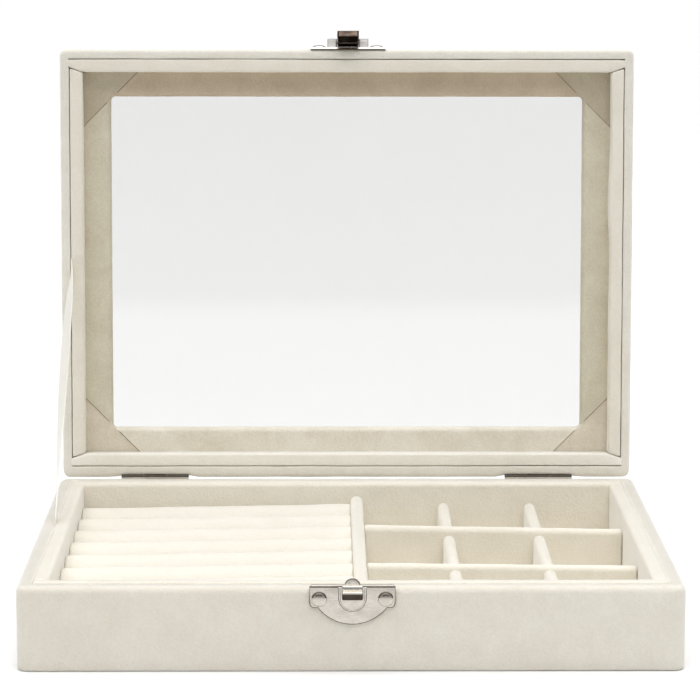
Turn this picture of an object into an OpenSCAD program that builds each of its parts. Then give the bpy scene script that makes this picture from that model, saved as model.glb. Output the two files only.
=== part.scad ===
// Ring display box: a velvet-covered base with ring rolls and nine compartments,
// and a hinged glass-topped lid that a ribbon stay holds open.
// X is the width, Y runs to the back where the hinges are, Z is up.
// The lid is drawn closed and then turned to the open position it rests in.

/* [Base carcass] */
// Width of the base over its velvet
base_w = 200; // [180:1:240]
// Depth of the base over its velvet
base_d = 150; // [130:1:190]
// Height of the base from the table to its rim
base_h = 26; // [24:0.5:34]
// Thickness of the base wall boards
base_board_t = 3.4; // [2.6:0.1:4]
// Thickness of the floor board
floor_board_t = 3; // [2.4:0.1:4]
// Thickness of the outer velvet
velvet_t = 0.7; // [0.5:0.05:0.9]
// Radius of the upright corners of the base
base_corner_r = 3.5; // [3:0.1:5]
// Radius of the base rim's outer edge
base_rim_r = 1.9; // [1:0.1:2.1]
// Radius of the base's bottom edge
base_foot_r = 1; // [0.7:0.1:1.3]
// Width of the velvet turned under the base
turn_under = 14; // [8:1:24]

/* [Linings] */
// Thickness of the padded lining strips
lining_t = 4.3; // [3.6:0.1:5]
// Radius of a lining strip's inner top edge
lining_crown_r = 1.9; // [1.4:0.1:2.1]
// Depth and width of the seam groove beside a lining strip
seam_groove = 0.6; // [0.3:0.05:0.65]

/* [Ring rolls] */
// Number of ring rolls
roll_count = 8; // [7:1:9]
// Width of the ring tray
tray_w = 92; // [80:0.5:100]
// Drop from the rim to the top of the rolls
roll_drop = 6; // [5:0.25:8]
// Gap between two rolls at their closest
roll_gap = 0.1; // [0.05:0.05:0.4]
// Thickness of the card under the rolls
roll_card_t = 1; // [0.8:0.1:1.6]
// Thickness of the velvet over a roll's foam
roll_cover_t = 0.9; // [0.6:0.1:1.2]
// Least that a roll is pressed flat on its card
roll_foot = 1; // [0.6:0.1:1.4]
// Radius of a roll's rounded end
roll_end_r = 1.5; // [1.25:0.25:3.5]
// Gap at each end of a roll
roll_end_gap = 0.15; // [0.1:0.05:0.5]

/* [Dividers] */
// Thickness of the divider beside the ring tray
main_div_t = 4.3; // [3.6:0.1:5]
// Drop from the rim to the top of the divider beside the ring tray
main_div_drop = 3.9; // [3:0.1:5]
// Thickness of the compartment dividers
grid_div_t = 3.8; // [3.2:0.1:4.4]
// Drop from the rim to the top of the rear cross divider
cross_rear_drop = 5.2; // [4.6:0.1:6]
// Drop from the rim to the top of the front cross divider
cross_front_drop = 6.4; // [5:0.1:7]
// Drop from the rim to the top of the front-to-back dividers
long_div_drop = 6.9; // [6.5:0.1:8]
// Thickness of the card inside a divider
div_card_t = 1.8; // [1.4:0.1:2.2]
// Clearance on each side of a slot where two dividers cross
lap_gap = 0.1; // [0.05:0.05:0.2]
// Thickness of the velvet pad under the compartments
cell_pad_t = 1.3; // [1:0.1:2]

/* [Lid] */
// How far the lid stands in from the base on every side
lid_inset = 1.15; // [0.9:0.05:1.4]
// Height of the closed lid
lid_h = 13.7; // [13.2:0.1:18]
// Thickness of the lid wall boards
lid_board_t = 2.2; // [1.8:0.1:2.6]
// Radius of the upright corners of the lid
lid_corner_r = 2.2; // [1.9:0.1:2.8]
// Radius of the lid's top edge
lid_top_r = 1; // [0.8:0.1:1.2]
// Radius of the lid rim's outer edge
lid_rim_r = 1; // [0.8:0.1:1.2]
// Gap between the two rims when the lid is closed
rim_gap = 0.3; // [0.2:0.05:0.6]
// Thickness of the lid's lining strips
lid_lining_t = 4.4; // [3.8:0.1:5]
// Depth from the lid's rim to the border round the window
border_depth = 5; // [4.5:0.1:5.5]
// Thickness of the board behind the border velvet
border_board_t = 2.6; // [2:0.1:3]
// Thickness of the border velvet
border_velvet_t = 0.6; // [0.5:0.05:0.8]
// Radius of the border velvet's turn into the window
border_turn_r = 0.9; // [0.7:0.1:1.2]
// Width of the lid beside the window
window_side = 16.5; // [14.5:0.1:22]
// Width of the lid before and behind the window
window_end = 15.8; // [14:0.1:20]
// Radius of the window's corners
window_r = 3; // [2:0.25:4]
// Thickness of the corner patches
patch_t = 0.4; // [0.3:0.05:0.45]
// Length of a corner patch along the lining strips
patch_leg = 18.3; // [17.9:0.05:18.8]
// Thickness of the glass
glass_t = 2; // [1.5:0.1:2.5]
// How far the glass reaches past the window on each side
glass_margin = 5.5; // [4:0.25:8]
// Angle at which the stay holds the lid open
lid_open = 94.4; // [91:0.1:100]

/* [Hinges] */
// Width of a hinge
hinge_w = 23.4; // [18:0.2:30]
// Distance of a hinge's middle from the side of the base
hinge_side = 33.2; // [26:0.2:50]
// Diameter of the hinge knuckles
hinge_knuckle_d = 1.6; // [1.5:0.05:1.9]
// Diameter of the hinge pins
hinge_pin_d = 0.7; // [0.6:0.05:0.8]
// Thickness of a hinge leaf
leaf_t = 0.5; // [0.4:0.05:0.6]
// Height of a hinge leaf
leaf_h = 8; // [6:0.5:10]
// Distance of the hinge pin from the back of the lid
hinge_setback = 0.55; // [0.5:0.05:0.7]
// Gap between two knuckles along their pin
knuckle_gap = 0.1; // [0.05:0.05:0.2]
// Clearance round the hinge knuckles in the velvet
knuckle_room = 0.15; // [0.1:0.05:0.3]

/* [Catch] */
// Distance of the catch's middle from the middle of the box
catch_x = 0.3; // [-10:0.1:10]
// Width of the catch plates
plate_w = 25.6; // [24:0.2:30]
// Height of the catch plate's ears
plate_ear_h = 6.2; // [5.6:0.1:7]
// Height of the base catch plate
plate_h = 11.3; // [10.5:0.1:13]
// Height of the hasp plate on the lid
hasp_plate_h = 10.4; // [9.6:0.1:11]
// Thickness of the catch plates
plate_t = 0.8; // [0.6:0.05:0.9]
// Radius of the rounded ears of the catch plates
ear_lobe_r = 1.4; // [1.1:0.1:1.7]
// How far outside the nails a plate's round belly leaves its ears
belly_reach = 0.9; // [0.4:0.1:1.1]
// Distance of the hasp plate from the lid's rim
plate_edge_gap = 0.3; // [0.2:0.1:0.5]
// Distance of a nail from the middle of its plate
nail_x = 9.9; // [9:0.1:10.4]
// Diameter of a nail's domed head
nail_head_d = 4.6; // [3.6:0.1:5]
// Height of a nail's domed head
nail_head_h = 0.9; // [0.6:0.1:1.2]
// Diameter of a nail's shank
nail_shank_d = 1.3; // [1:0.1:1.6]
// Length of a nail's shank in the base
nail_len = 2.6; // [2:0.1:3]
// Length of a nail's shank in the lid
lid_nail_len = 2; // [1.6:0.1:2.4]
// Distance from the base's rim to its nails
nail_drop = 3.5; // [3:0.1:4]
// Distance from the lid's rim to its nails
lid_nail_rise = 3.4; // [3:0.1:4]
// Width of the raised pad round the catch nose
pad_w = 8.4; // [8:0.1:9]
// Height of the raised pad from the rim to its round foot
pad_h = 7.2; // [6.6:0.1:8.4]
// Thickness of the raised pad on its plate
pad_t = 0.7; // [0.5:0.05:0.8]
// Width of the catch nose
nose_w = 6; // [5.4:0.1:6.1]
// Reach of the catch nose from the raised pad
nose_reach = 2.7; // [2:0.1:3]
// Drop from the rim to the top of the nose
nose_top_drop = 0.4; // [0.3:0.1:0.6]
// Drop from the rim to the foot of the nose's lip
nose_lip_drop = 2.3; // [2:0.1:2.6]
// Height of the nose's lip and of the slope under it
nose_lip_h = 1.2; // [1:0.1:1.5]
// Rise of the plate's rounded tongue above the rim
tongue_rise = 2.4; // [1.8:0.1:2.8]
// Width of the tongue
tongue_w = 4.8; // [4:0.1:5.2]

/* [Hasp] */
// Width of the swinging hasp
hasp_w = 7.3; // [7:0.1:8]
// Sheet thickness of the swinging hasp
hasp_t = 0.45; // [0.35:0.05:0.5]
// Distance from the lid's front to the outside of the hasp
hasp_reach = 6.4; // [6:0.1:7]
// Length of the hasp below its pin
hasp_len = 12.2; // [11:0.1:13.5]
// Height of the hasp pin above the lid's rim
hasp_pin_z = 6.5; // [6:0.1:7]
// Diameter of the hasp knuckles
hasp_knuckle_d = 3; // [2.8:0.1:3.2]
// Length over the two hasp knuckles
hasp_knuckle_w = 14.1; // [12:0.1:16]
// Diameter of the hasp pin
hasp_pin_d = 1.2; // [1:0.05:1.4]
// Clearance between the closed hasp and the plates behind it
hasp_clear = 0.45; // [0.3:0.05:0.6]
// Clearance round a turning pin
pin_gap = 0.05; // [0.03:0.01:0.08]

/* [Ribbon stay] */
// Width of the ribbon
ribbon_w = 5; // [4:0.25:8]
// Thickness of the ribbon
ribbon_t = 0.4; // [0.3:0.05:0.5]
// Distance from the back of the base to where the ribbon leaves its seam
ribbon_back = 68.05; // [55:0.05:85]
// Distance from the lid's back edge to where the ribbon leaves its seam
ribbon_lid_s = 72.9; // [60:0.1:90]
// Length of ribbon tucked into each seam
ribbon_tuck = 4; // [3:0.25:5]

/* [Fits] */
// Clearance between pieces that lie against each other
fit_gap = 0.05; // [0.03:0.01:0.08]
// Most that an edge is rounded, in thicknesses of the velvet over the boards
edge_share = 2.8; // [2:0.1:3.2]

/* [Hidden] */
$fn = 64;
eps = 0.01;
over = 1;

// derived sizes of the base
skin = velvet_t;
half_w = base_w / 2;
half_d = base_d / 2;
board_out_x = half_w - skin;
board_out_y = half_d - skin;
board_in_x = board_out_x - base_board_t;
board_in_y = board_out_y - base_board_t;
seam_x = board_in_x - skin;
seam_y = board_in_y - skin;
tray_x = seam_x - lining_t;
tray_y = seam_y - lining_t;
floor_z = skin + floor_board_t;
board_r = base_corner_r - skin;
rim_r = min(base_rim_r, edge_share * velvet_t);

// derived sizes of the ring rolls and dividers
roll_pitch = 2 * tray_y / roll_count;
roll_r = (roll_pitch - roll_gap) / 2;
roll_z = base_h - roll_drop - roll_r;
tray_right = tray_w - tray_x;
roll_len = tray_w - 2 * roll_end_gap;
roll_bed_z = max(floor_z + roll_card_t, roll_z - roll_r + roll_foot);
cell_left = tray_right + main_div_t;
cell_right = tray_x;
cell_floor_z = floor_z + cell_pad_t;
cell_w = (cell_right - cell_left - 2 * grid_div_t) / 3;
cell_d = (2 * tray_y - 2 * grid_div_t) / 3;
long_x = [for (i = [1, 2]) cell_left + i * cell_w + (i - 0.5) * grid_div_t];
cross_y = [for (i = [1, 2]) -tray_y + i * cell_d + (i - 0.5) * grid_div_t];
lap_z = (cell_floor_z + base_h - long_div_drop) / 2;
div_skin = (grid_div_t - div_card_t) / 2;
main_skin = (main_div_t - div_card_t) / 2;

// derived sizes of the lid, drawn closed
rim_z = base_h + rim_gap;
lid_half_w = half_w - lid_inset;
lid_half_d = half_d - lid_inset;
lid_top_z = rim_z + lid_h;
lid_board_x = lid_half_w - skin;
lid_board_y = lid_half_d - skin;
lid_in_x = lid_board_x - lid_board_t;
lid_in_y = lid_board_y - lid_board_t;
lid_seam_x = lid_in_x - skin;
lid_seam_y = lid_in_y - skin;
lid_lining_x = lid_seam_x - lid_lining_t;
lid_lining_y = lid_seam_y - lid_lining_t;
border_z = rim_z + border_depth;
border_board_z = border_z + border_velvet_t;
glass_z = border_board_z + border_board_t;
top_board_z = glass_z + glass_t;
top_skin_z = lid_top_z - skin;
win_x = lid_half_w - window_side;
win_y = lid_half_d - window_end;
patch_sum = lid_lining_x + lid_lining_y - patch_leg;

// hinge pin line and the hasp pin line
hinge_x = half_w - hinge_side;
hinge_y = lid_half_d + hinge_setback;
hinge_z = rim_z + fit_gap;
knuckle_r = hinge_knuckle_d / 2;
knuckle_clear = knuckle_r + knuckle_room;
knuckle_len = (hinge_w - 2 * knuckle_gap) / 3;
leaf_slot = leaf_t + 2 * fit_gap;
base_leaf_y = board_out_y - leaf_t;
lid_leaf_y = lid_board_y - leaf_t;
lid_web_z = hinge_z + knuckle_r - leaf_t;
hasp_face_y = -lid_half_d;
hasp_y = hasp_face_y - plate_t - hasp_knuckle_d / 2;
hasp_z = rim_z + hasp_pin_z;
catch_face_y = -half_d;
pad_face_y = catch_face_y - plate_t - pad_t;
nose_lip_z = base_h - nose_lip_drop;
nail_z = base_h - nail_drop;
hasp_nail_z = rim_z + lid_nail_rise;

// ends of the free ribbon, in the Y and Z of the open box
ribbon_x = -(seam_x + lid_seam_x) / 2;
ribbon_base_y = half_d - ribbon_back;
lid_anchor = opened([lid_half_d - ribbon_lid_s, rim_z]);
base_anchor = [ribbon_base_y, base_h];
lid_tail_end = opened([lid_half_d - ribbon_lid_s, rim_z + ribbon_tuck]);

// turns a closed point [y, z] of the lid to where it lies when open
function opened(p) =
    let (y = p[0] - hinge_y, z = p[1] - hinge_z)
    [
        hinge_y + y * cos(lid_open) + z * sin(lid_open),
        hinge_z - y * sin(lid_open) + z * cos(lid_open)
    ];

// moves a closed lid piece to the open rest position
module lid_place() {
    translate([0, hinge_y, hinge_z])
        rotate([-lid_open, 0, 0])
            translate([0, -hinge_y, -hinge_z])
                children();
}

// rectangle centred on the origin
module plan(x, y) {
    square([2 * x, 2 * y], center = true);
}

// centred rectangle with rounded corners
module round_plan(x, y, r) {
    square([2 * x, 2 * (y - r)], center = true);
    square([2 * (x - r), 2 * y], center = true);
    for (sx = [-1, 1])
        for (sy = [-1, 1])
            translate([sx * (x - r), sy * (y - r)])
                circle(r);
}

// slab of a plan between two heights
module slab(z0, z1) {
    translate([0, 0, z0])
        linear_extrude(z1 - z0)
            children();
}

// box from its lowest to its highest corner
module box(p0, p1) {
    translate(p0)
        cube(p1 - p0);
}

// side profile of a block's edge: width r_in, rounded outside at foot and top
module edge_profile(w, h, foot_r, top_r) {
    difference() {
        square([w, h]);
        translate([w - foot_r, 0])
            corner_bite(foot_r, -1);
        translate([w - top_r, h])
            corner_bite(top_r, 1);
    }
}

// what a fillet of radius r takes off a square corner, up = 1 at the top edge
module corner_bite(r, up) {
    difference() {
        translate([0, up > 0 ? -r : -eps])
            square([r + eps, r + eps]);
        translate([0, -up * r])
            circle(r);
    }
}

// block with rounded upright corners, foot and top edges
module soft_block(x, y, z0, z1, r, foot_r, top_r) {
    h = z1 - z0;
    translate([0, 0, z0]) {
        slab(0, h) plan(x - r, y - r);
        for (side = [0, 180])
            rotate([0, 0, side]) {
                translate([x - r, y - r, 0])
                    rotate([90, 0, 0])
                        linear_extrude(2 * (y - r))
                            edge_profile(r, h, foot_r, top_r);
                translate([-x + r, y - r, 0])
                    rotate([90, 0, 90])
                        linear_extrude(2 * (x - r))
                            edge_profile(r, h, foot_r, top_r);
                translate([x - r, y - r, 0])
                    rotate_extrude(angle = 90)
                        edge_profile(r, h, foot_r, top_r);
                translate([-x + r, y - r, 0])
                    rotate([0, 0, 90])
                        rotate_extrude(angle = 90)
                            edge_profile(r, h, foot_r, top_r);
            }
    }
}

// groove along the inner edge of a rim, cut at 45 degrees
module seam_cut(x, y, z, up) {
    g = seam_groove;
    for (side = [0, 180])
        rotate([0, 0, side]) {
            translate([x, y + g, z])
                rotate([90, 0, 0])
                    linear_extrude(2 * (y + g))
                        polygon([[-eps, up * eps], [g, up * eps], [-eps, -up * g]]);
            translate([-x - g, y, z])
                rotate([90, 0, 90])
                    linear_extrude(2 * (x + g))
                        polygon([[-eps, up * eps], [g, up * eps], [-eps, -up * g]]);
        }
}

// section of a padded lining strip, x = 0 at the wall, y = 0 at its foot
module lining_profile(t, h) {
    difference() {
        square([t, h]);
        translate([t - lining_crown_r, h])
            corner_bite(lining_crown_r, 1);
        translate([seam_groove, h])
            mirror([1, 0])
                corner_bite(seam_groove, 1);
    }
}

// strip along X that stands against the wall at y, facing inwards
module long_lining(x, y, z0, z1, t) {
    translate([-x, -y, z0])
        rotate([90, 0, 90])
            linear_extrude(2 * x)
                lining_profile(t, z1 - z0);
}

// strip along Y between the two long strips
module short_lining(x, y, z0, z1, t) {
    translate([-x, y - t, z0])
        rotate([90, 0, 0])
            linear_extrude(2 * (y - t))
                lining_profile(t, z1 - z0);
}

// upright divider section with a round top
module divider_profile(t, z0, z1) {
    translate([-t / 2, z0])
        square([t, z1 - t / 2 - z0]);
    translate([0, z1 - t / 2])
        circle(t / 2);
}

// section of the card inside a divider
module card_profile(t, z0, z1) {
    translate([-div_card_t / 2, z0])
        square([div_card_t, z1 - t / 2 - z0]);
}

// runs a section along X
module along_x(x0, x1, y) {
    translate([x0, y, 0])
        rotate([90, 0, 90])
            linear_extrude(x1 - x0)
                children();
}

// runs a section along Y
module along_y(y0, y1, x) {
    translate([x, y1, 0])
        rotate([90, 0, 0])
            linear_extrude(y1 - y0)
                children();
}

// rod along X through a point of the Y and Z plane
module rod_x(x0, x1, y, z, r) {
    translate([x0, y, z])
        rotate([0, 90, 0])
            cylinder(h = x1 - x0, r = r);
}

// pocket for the ribbon's tail in a seam, closed lid and base
module ribbon_pocket(y, z0, z1) {
    w = ribbon_w / 2 + fit_gap;
    t = ribbon_t / 2 + fit_gap;
    box([ribbon_x - t, y - w, z0], [ribbon_x + t, y + w, z1]);
}

module base_ribbon_pocket() {
    ribbon_pocket(ribbon_base_y, base_h - ribbon_tuck - fit_gap, base_h + over);
}

module lid_ribbon_pocket() {
    ribbon_pocket(lid_half_d - ribbon_lid_s, rim_z - over, rim_z + ribbon_tuck + fit_gap);
}

// base boards
module base_board_ring() {
    slab(skin, base_h - skin) round_plan(board_out_x, board_out_y, board_r);
}

module base_side_board(side) {
    color("burlywood")
        intersection() {
            base_board_ring();
            box(
                [side < 0 ? -half_w : board_in_x, -half_d, 0],
                [side < 0 ? -board_in_x : half_w, half_d, base_h]
            );
        }
}

module base_floor_board() {
    color("burlywood")
        slab(skin, floor_z) plan(board_in_x, board_in_y);
}

module base_front_board() {
    color("burlywood")
        difference() {
            box(
                [-board_in_x, -board_out_y, skin],
                [board_in_x, -board_in_y, base_h - skin]
            );
            nail_holes(catch_face_y, nail_z, nail_len);
        }
}

module base_back_board() {
    color("burlywood")
        difference() {
            box(
                [-board_in_x, board_in_y, skin],
                [board_in_x, board_out_y, base_h - skin]
            );
            for (side = [-1, 1])
                box(
                    [
                        side * hinge_x - hinge_w / 2 - fit_gap,
                        base_leaf_y - fit_gap,
                        hinge_z - leaf_h - fit_gap
                    ],
                    [side * hinge_x + hinge_w / 2 + fit_gap, half_d, base_h]
                );
        }
}

module base_left_board() {
    base_side_board(-1);
}

module base_right_board() {
    base_side_board(1);
}

// velvet outside, over the rim, down the inside and under the base
module base_outer_velvet() {
    color("antiquewhite")
        difference() {
            soft_block(
                half_w, half_d, 0, base_h, base_corner_r, base_foot_r, rim_r
            );
            slab(floor_z, base_h + over) plan(seam_x, seam_y);
            slab(skin, base_h - skin)
                difference() {
                    round_plan(board_out_x, board_out_y, board_r);
                    plan(board_in_x, board_in_y);
                }
            slab(skin, floor_z) plan(board_in_x, board_in_y);
            slab(-over, skin + eps) plan(half_w - turn_under, half_d - turn_under);
            seam_cut(seam_x, seam_y, base_h, 1);
            base_hinge_cut();
            base_ribbon_pocket();
            nail_holes(catch_face_y, nail_z, nail_len);
        }
}

module base_hinge_cut() {
    for (side = [-1, 1]) {
        x0 = side * hinge_x - hinge_w / 2 - fit_gap;
        x1 = side * hinge_x + hinge_w / 2 + fit_gap;
        rod_x(x0, x1, hinge_y, hinge_z, knuckle_clear);
        box([x0, base_leaf_y - fit_gap, base_h - 2 * skin], [x1, hinge_y, base_h + over]);
    }
}

module base_underside_cover() {
    color("tan")
        slab(0, skin)
            plan(half_w - turn_under - fit_gap, half_d - turn_under - fit_gap);
}

// base linings
module base_lining_front() {
    color("linen")
        long_lining(seam_x, seam_y, floor_z, base_h, lining_t);
}

module base_lining_back() {
    color("linen")
        rotate([0, 0, 180])
            long_lining(seam_x, seam_y, floor_z, base_h, lining_t);
}

module base_lining_left() {
    color("linen")
        difference() {
            short_lining(seam_x, seam_y, floor_z, base_h, lining_t);
            base_ribbon_pocket();
        }
}

module base_lining_right() {
    color("linen")
        rotate([0, 0, 180])
            short_lining(seam_x, seam_y, floor_z, base_h, lining_t);
}

// ring rolls: foam rods in velvet, bedded on a card
function roll_y(i) = tray_y - (i - 0.5) * roll_pitch;

module roll_solid(len, r, end_r) {
    rotate([0, 90, 0])
        rotate_extrude()
            difference() {
                translate([0, -len / 2])
                    square([r, len]);
                translate([r - end_r, len / 2])
                    corner_bite(end_r, 1);
                translate([r - end_r, -len / 2])
                    corner_bite(end_r, -1);
            }
}

module roll_form(i, shrink) {
    difference() {
        translate([(tray_right - tray_x) / 2, roll_y(i), roll_z])
            roll_solid(roll_len - 2 * shrink, roll_r - shrink, roll_end_r - shrink);
        box(
            [-half_w, -half_d, -over],
            [half_w, half_d, roll_bed_z + shrink]
        );
    }
}

module ring_roll(i) {
    color("ivory")
        difference() {
            roll_form(i, 0);
            roll_form(i, roll_cover_t);
        }
}

module ring_roll_foam_cores() {
    color("gold")
        for (i = [1:roll_count])
            roll_form(i, roll_cover_t);
}

module ring_roll_card() {
    color("peru")
        box(
            [-tray_x + fit_gap, -tray_y + fit_gap, floor_z],
            [tray_right - fit_gap, tray_y - fit_gap, roll_bed_z]
        );
}

// divider beside the ring tray
module main_divider() {
    color("linen")
        along_y(-tray_y, tray_y, tray_right + main_div_t / 2)
            difference() {
                divider_profile(main_div_t, floor_z, base_h - main_div_drop);
                card_profile(main_div_t, floor_z, base_h - main_div_drop);
            }
}

module main_divider_card() {
    color("peru")
        along_y(-tray_y, tray_y, tray_right + main_div_t / 2)
            card_profile(main_div_t, floor_z, base_h - main_div_drop);
}

// slots of the half-lapped grid
module cross_slots() {
    w = grid_div_t / 2 + lap_gap;
    for (x = long_x)
        box([x - w, -half_d, 0], [x + w, half_d, lap_z + lap_gap]);
}

module long_slots() {
    w = grid_div_t / 2 + lap_gap;
    for (y = cross_y)
        box([0, y - w, lap_z - lap_gap], [half_w, y + w, base_h]);
}

module cross_divider(y, drop) {
    difference() {
        along_x(cell_left, cell_right, y)
            difference() {
                divider_profile(grid_div_t, cell_floor_z, base_h - drop);
                card_profile(grid_div_t, cell_floor_z, base_h - drop);
            }
        cross_slots();
    }
}

module long_divider(x) {
    difference() {
        along_y(-tray_y, tray_y, x)
            difference() {
                divider_profile(grid_div_t, cell_floor_z, base_h - long_div_drop);
                card_profile(grid_div_t, cell_floor_z, base_h - long_div_drop);
            }
        long_slots();
    }
}

module cross_divider_rear() {
    color("linen")
        cross_divider(cross_y[1], cross_rear_drop);
}

module cross_divider_front() {
    color("linen")
        cross_divider(cross_y[0], cross_front_drop);
}

module long_divider_left() {
    color("linen")
        long_divider(long_x[0]);
}

module long_divider_right() {
    color("linen")
        long_divider(long_x[1]);
}

module grid_divider_cards() {
    color("peru") {
        difference() {
            union() {
                along_x(cell_left, cell_right, cross_y[1])
                    card_profile(grid_div_t, cell_floor_z, base_h - cross_rear_drop);
                along_x(cell_left, cell_right, cross_y[0])
                    card_profile(grid_div_t, cell_floor_z, base_h - cross_front_drop);
            }
            cross_slots();
        }
        difference() {
            union() {
                for (x = long_x)
                    along_y(-tray_y, tray_y, x)
                        card_profile(grid_div_t, cell_floor_z, base_h - long_div_drop);
            }
            long_slots();
        }
    }
}

module compartment_floor_pad() {
    color("linen")
        box(
            [cell_left + fit_gap, -tray_y + fit_gap, floor_z],
            [cell_right - fit_gap, tray_y - fit_gap, cell_floor_z]
        );
}

// outline of a stamped catch plate hanging from z = 0, ears above a round belly
module plate_outline(ear_h, h) {
    reach = plate_w / 2 - ear_lobe_r;
    belly_x = nail_x + belly_reach;
    drop = h - ear_h;
    belly_r = (belly_x * belly_x + drop * drop) / (2 * drop);
    translate([-plate_w / 2, -ear_h + ear_lobe_r])
        square([plate_w, ear_h - ear_lobe_r]);
    translate([-reach, -ear_h])
        square([2 * reach, ear_h]);
    for (side = [-1, 1])
        translate([side * reach, -ear_h + ear_lobe_r])
            circle(ear_lobe_r);
    intersection() {
        translate([0, -h + belly_r])
            circle(belly_r);
        translate([-plate_w / 2, -h])
            square([plate_w, h - eps]);
    }
}

// stands a plate outline on a front face, its straight edge at height z
module plate_on(face_y, z, t) {
    translate([catch_x, face_y, z])
        rotate([90, 0, 0])
            linear_extrude(t)
                children();
}

module nail_holes(face_y, z, len) {
    for (side = [-1, 1])
        translate([catch_x + side * nail_x, face_y + len, z])
            rotate([90, 0, 0])
                cylinder(h = len + plate_t + over, d = nail_shank_d);
}

// domed nail driven in from the front
module nail(len) {
    cap_r = (nail_head_d * nail_head_d / 4 + nail_head_h * nail_head_h)
        / (2 * nail_head_h);
    rotate([90, 0, 0]) {
        translate([0, 0, -len])
            cylinder(h = len + plate_t, d = nail_shank_d);
        translate([0, 0, plate_t])
            intersection() {
                translate([0, 0, nail_head_h - cap_r])
                    sphere(cap_r);
                cylinder(h = nail_head_h + over, d = nail_head_d + over);
            }
    }
}

module nails(face_y, z, len) {
    for (side = [-1, 1])
        translate([catch_x + side * nail_x, face_y, z])
            nail(len);
}

// plate with the round tongue that guides the lid
module catch_plate() {
    color("gainsboro")
        difference() {
            plate_on(catch_face_y, base_h, plate_t) {
                plate_outline(plate_ear_h, plate_h);
                translate([-tongue_w / 2, -over])
                    square([tongue_w, over + tongue_rise - tongue_w / 2 + eps]);
                translate([0, tongue_rise - tongue_w / 2])
                    circle(tongue_w / 2);
            }
            nail_holes(catch_face_y, nail_z, nail_len);
        }
}

module catch_nails() {
    color("silver")
        nails(catch_face_y, nail_z, nail_len);
}

// U-shaped pad with the hooked nose that the hasp snaps over
module catch_nose() {
    pad_r = pad_w / 2;
    color("silver") {
        plate_on(catch_face_y - plate_t, base_h, pad_t)
            intersection() {
                translate([-pad_r, -pad_h])
                    square([pad_w, pad_h]);
                union() {
                    translate([-pad_r, pad_r - pad_h])
                        square([pad_w, pad_h - pad_r]);
                    translate([0, pad_r - pad_h])
                        circle(pad_r);
                }
            }
        translate([catch_x - nose_w / 2, pad_face_y, base_h])
            rotate([90, 0, 90])
                linear_extrude(nose_w)
                    polygon([
                        [eps, -nose_top_drop],
                        [-nose_reach, nose_lip_z + nose_lip_h - base_h],
                        [-nose_reach, nose_lip_z - base_h],
                        [eps, nose_lip_z - nose_lip_h - base_h]
                    ]);
    }
}

// hinges
module hinge_base_leaf(side) {
    x = side * hinge_x;
    end = hinge_w / 2;
    color("dimgray")
        difference() {
            union() {
                box(
                    [x - end, base_leaf_y, hinge_z - leaf_h],
                    [x + end, base_leaf_y + leaf_t, hinge_z]
                );
                rod_x(x - end, x + end, hinge_y, hinge_z, knuckle_r);
            }
            box(
                [x - knuckle_len / 2 - knuckle_gap, base_leaf_y - over, base_h - skin],
                [x + knuckle_len / 2 + knuckle_gap, half_d + over, base_h + 2 * over]
            );
            rod_x(x - end - over, x + end + over, hinge_y, hinge_z, hinge_pin_d / 2);
        }
}

module hinge_lid_leaf(side) {
    x = side * hinge_x;
    end = hinge_w / 2;
    knuckle = knuckle_len / 2;
    color("dimgray")
        lid_place()
            difference() {
                union() {
                    box(
                        [x - end, lid_leaf_y, rim_z + skin],
                        [x + end, lid_leaf_y + leaf_t, rim_z + skin + leaf_h]
                    );
                    box(
                        [x - knuckle, lid_leaf_y, lid_web_z],
                        [x + knuckle, hinge_y, lid_web_z + leaf_t]
                    );
                    rod_x(x - knuckle, x + knuckle, hinge_y, hinge_z, knuckle_r);
                }
                rod_x(
                    x - end - over, x + end + over, hinge_y, hinge_z,
                    hinge_pin_d / 2 + pin_gap
                );
            }
}

module hinge_base_leaf_left() {
    hinge_base_leaf(-1);
}

module hinge_base_leaf_right() {
    hinge_base_leaf(1);
}

module hinge_lid_leaf_left() {
    hinge_lid_leaf(-1);
}

module hinge_lid_leaf_right() {
    hinge_lid_leaf(1);
}

module hinge_pins() {
    color("silver")
        for (side = [-1, 1])
            rod_x(
                side * hinge_x - hinge_w / 2, side * hinge_x + hinge_w / 2,
                hinge_y, hinge_z, hinge_pin_d / 2
            );
}

// ribbon from the seam of the base to the seam of the open lid
module ribbon_stay() {
    run = lid_anchor - base_anchor;
    lean = atan2(run[0], run[1]);
    tail = lid_tail_end - lid_anchor;
    half = ribbon_w / 2;
    up = [0, 1];
    side_a = [half, 0];
    along = run / norm(run);
    side_b = [along[1], -along[0]] * half;
    into = tail / norm(tail);
    side_c = [into[1], -into[0]] * half;
    a0 = base_anchor - up * ribbon_tuck;
    a1 = base_anchor;
    b0 = a1 + along * ribbon_w;
    b1 = lid_anchor - along * ribbon_w;
    c1 = lid_anchor;
    c0 = lid_tail_end;
    color("wheat")
        translate([ribbon_x - ribbon_t / 2, 0, 0])
            rotate([90, 0, 90])
                linear_extrude(ribbon_t)
                    polygon([
                        a0 - side_a, a1 - side_a, b0 - side_b, b1 - side_b,
                        c1 - side_c, c0 - side_c, c0 + side_c, c1 + side_c,
                        b1 + side_b, b0 + side_b, a1 + side_a, a0 + side_a
                    ]);
}

// lid boards, drawn closed
module lid_board_ring() {
    slab(rim_z + skin, top_skin_z)
        round_plan(lid_board_x, lid_board_y, lid_corner_r - skin);
}

module lid_side_board(side) {
    color("burlywood")
        lid_place()
            intersection() {
                lid_board_ring();
                box(
                    [side < 0 ? -lid_half_w : lid_in_x, -lid_half_d, rim_z],
                    [side < 0 ? -lid_in_x : lid_half_w, lid_half_d, lid_top_z]
                );
            }
}

module lid_left_board() {
    lid_side_board(-1);
}

module lid_right_board() {
    lid_side_board(1);
}

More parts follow.
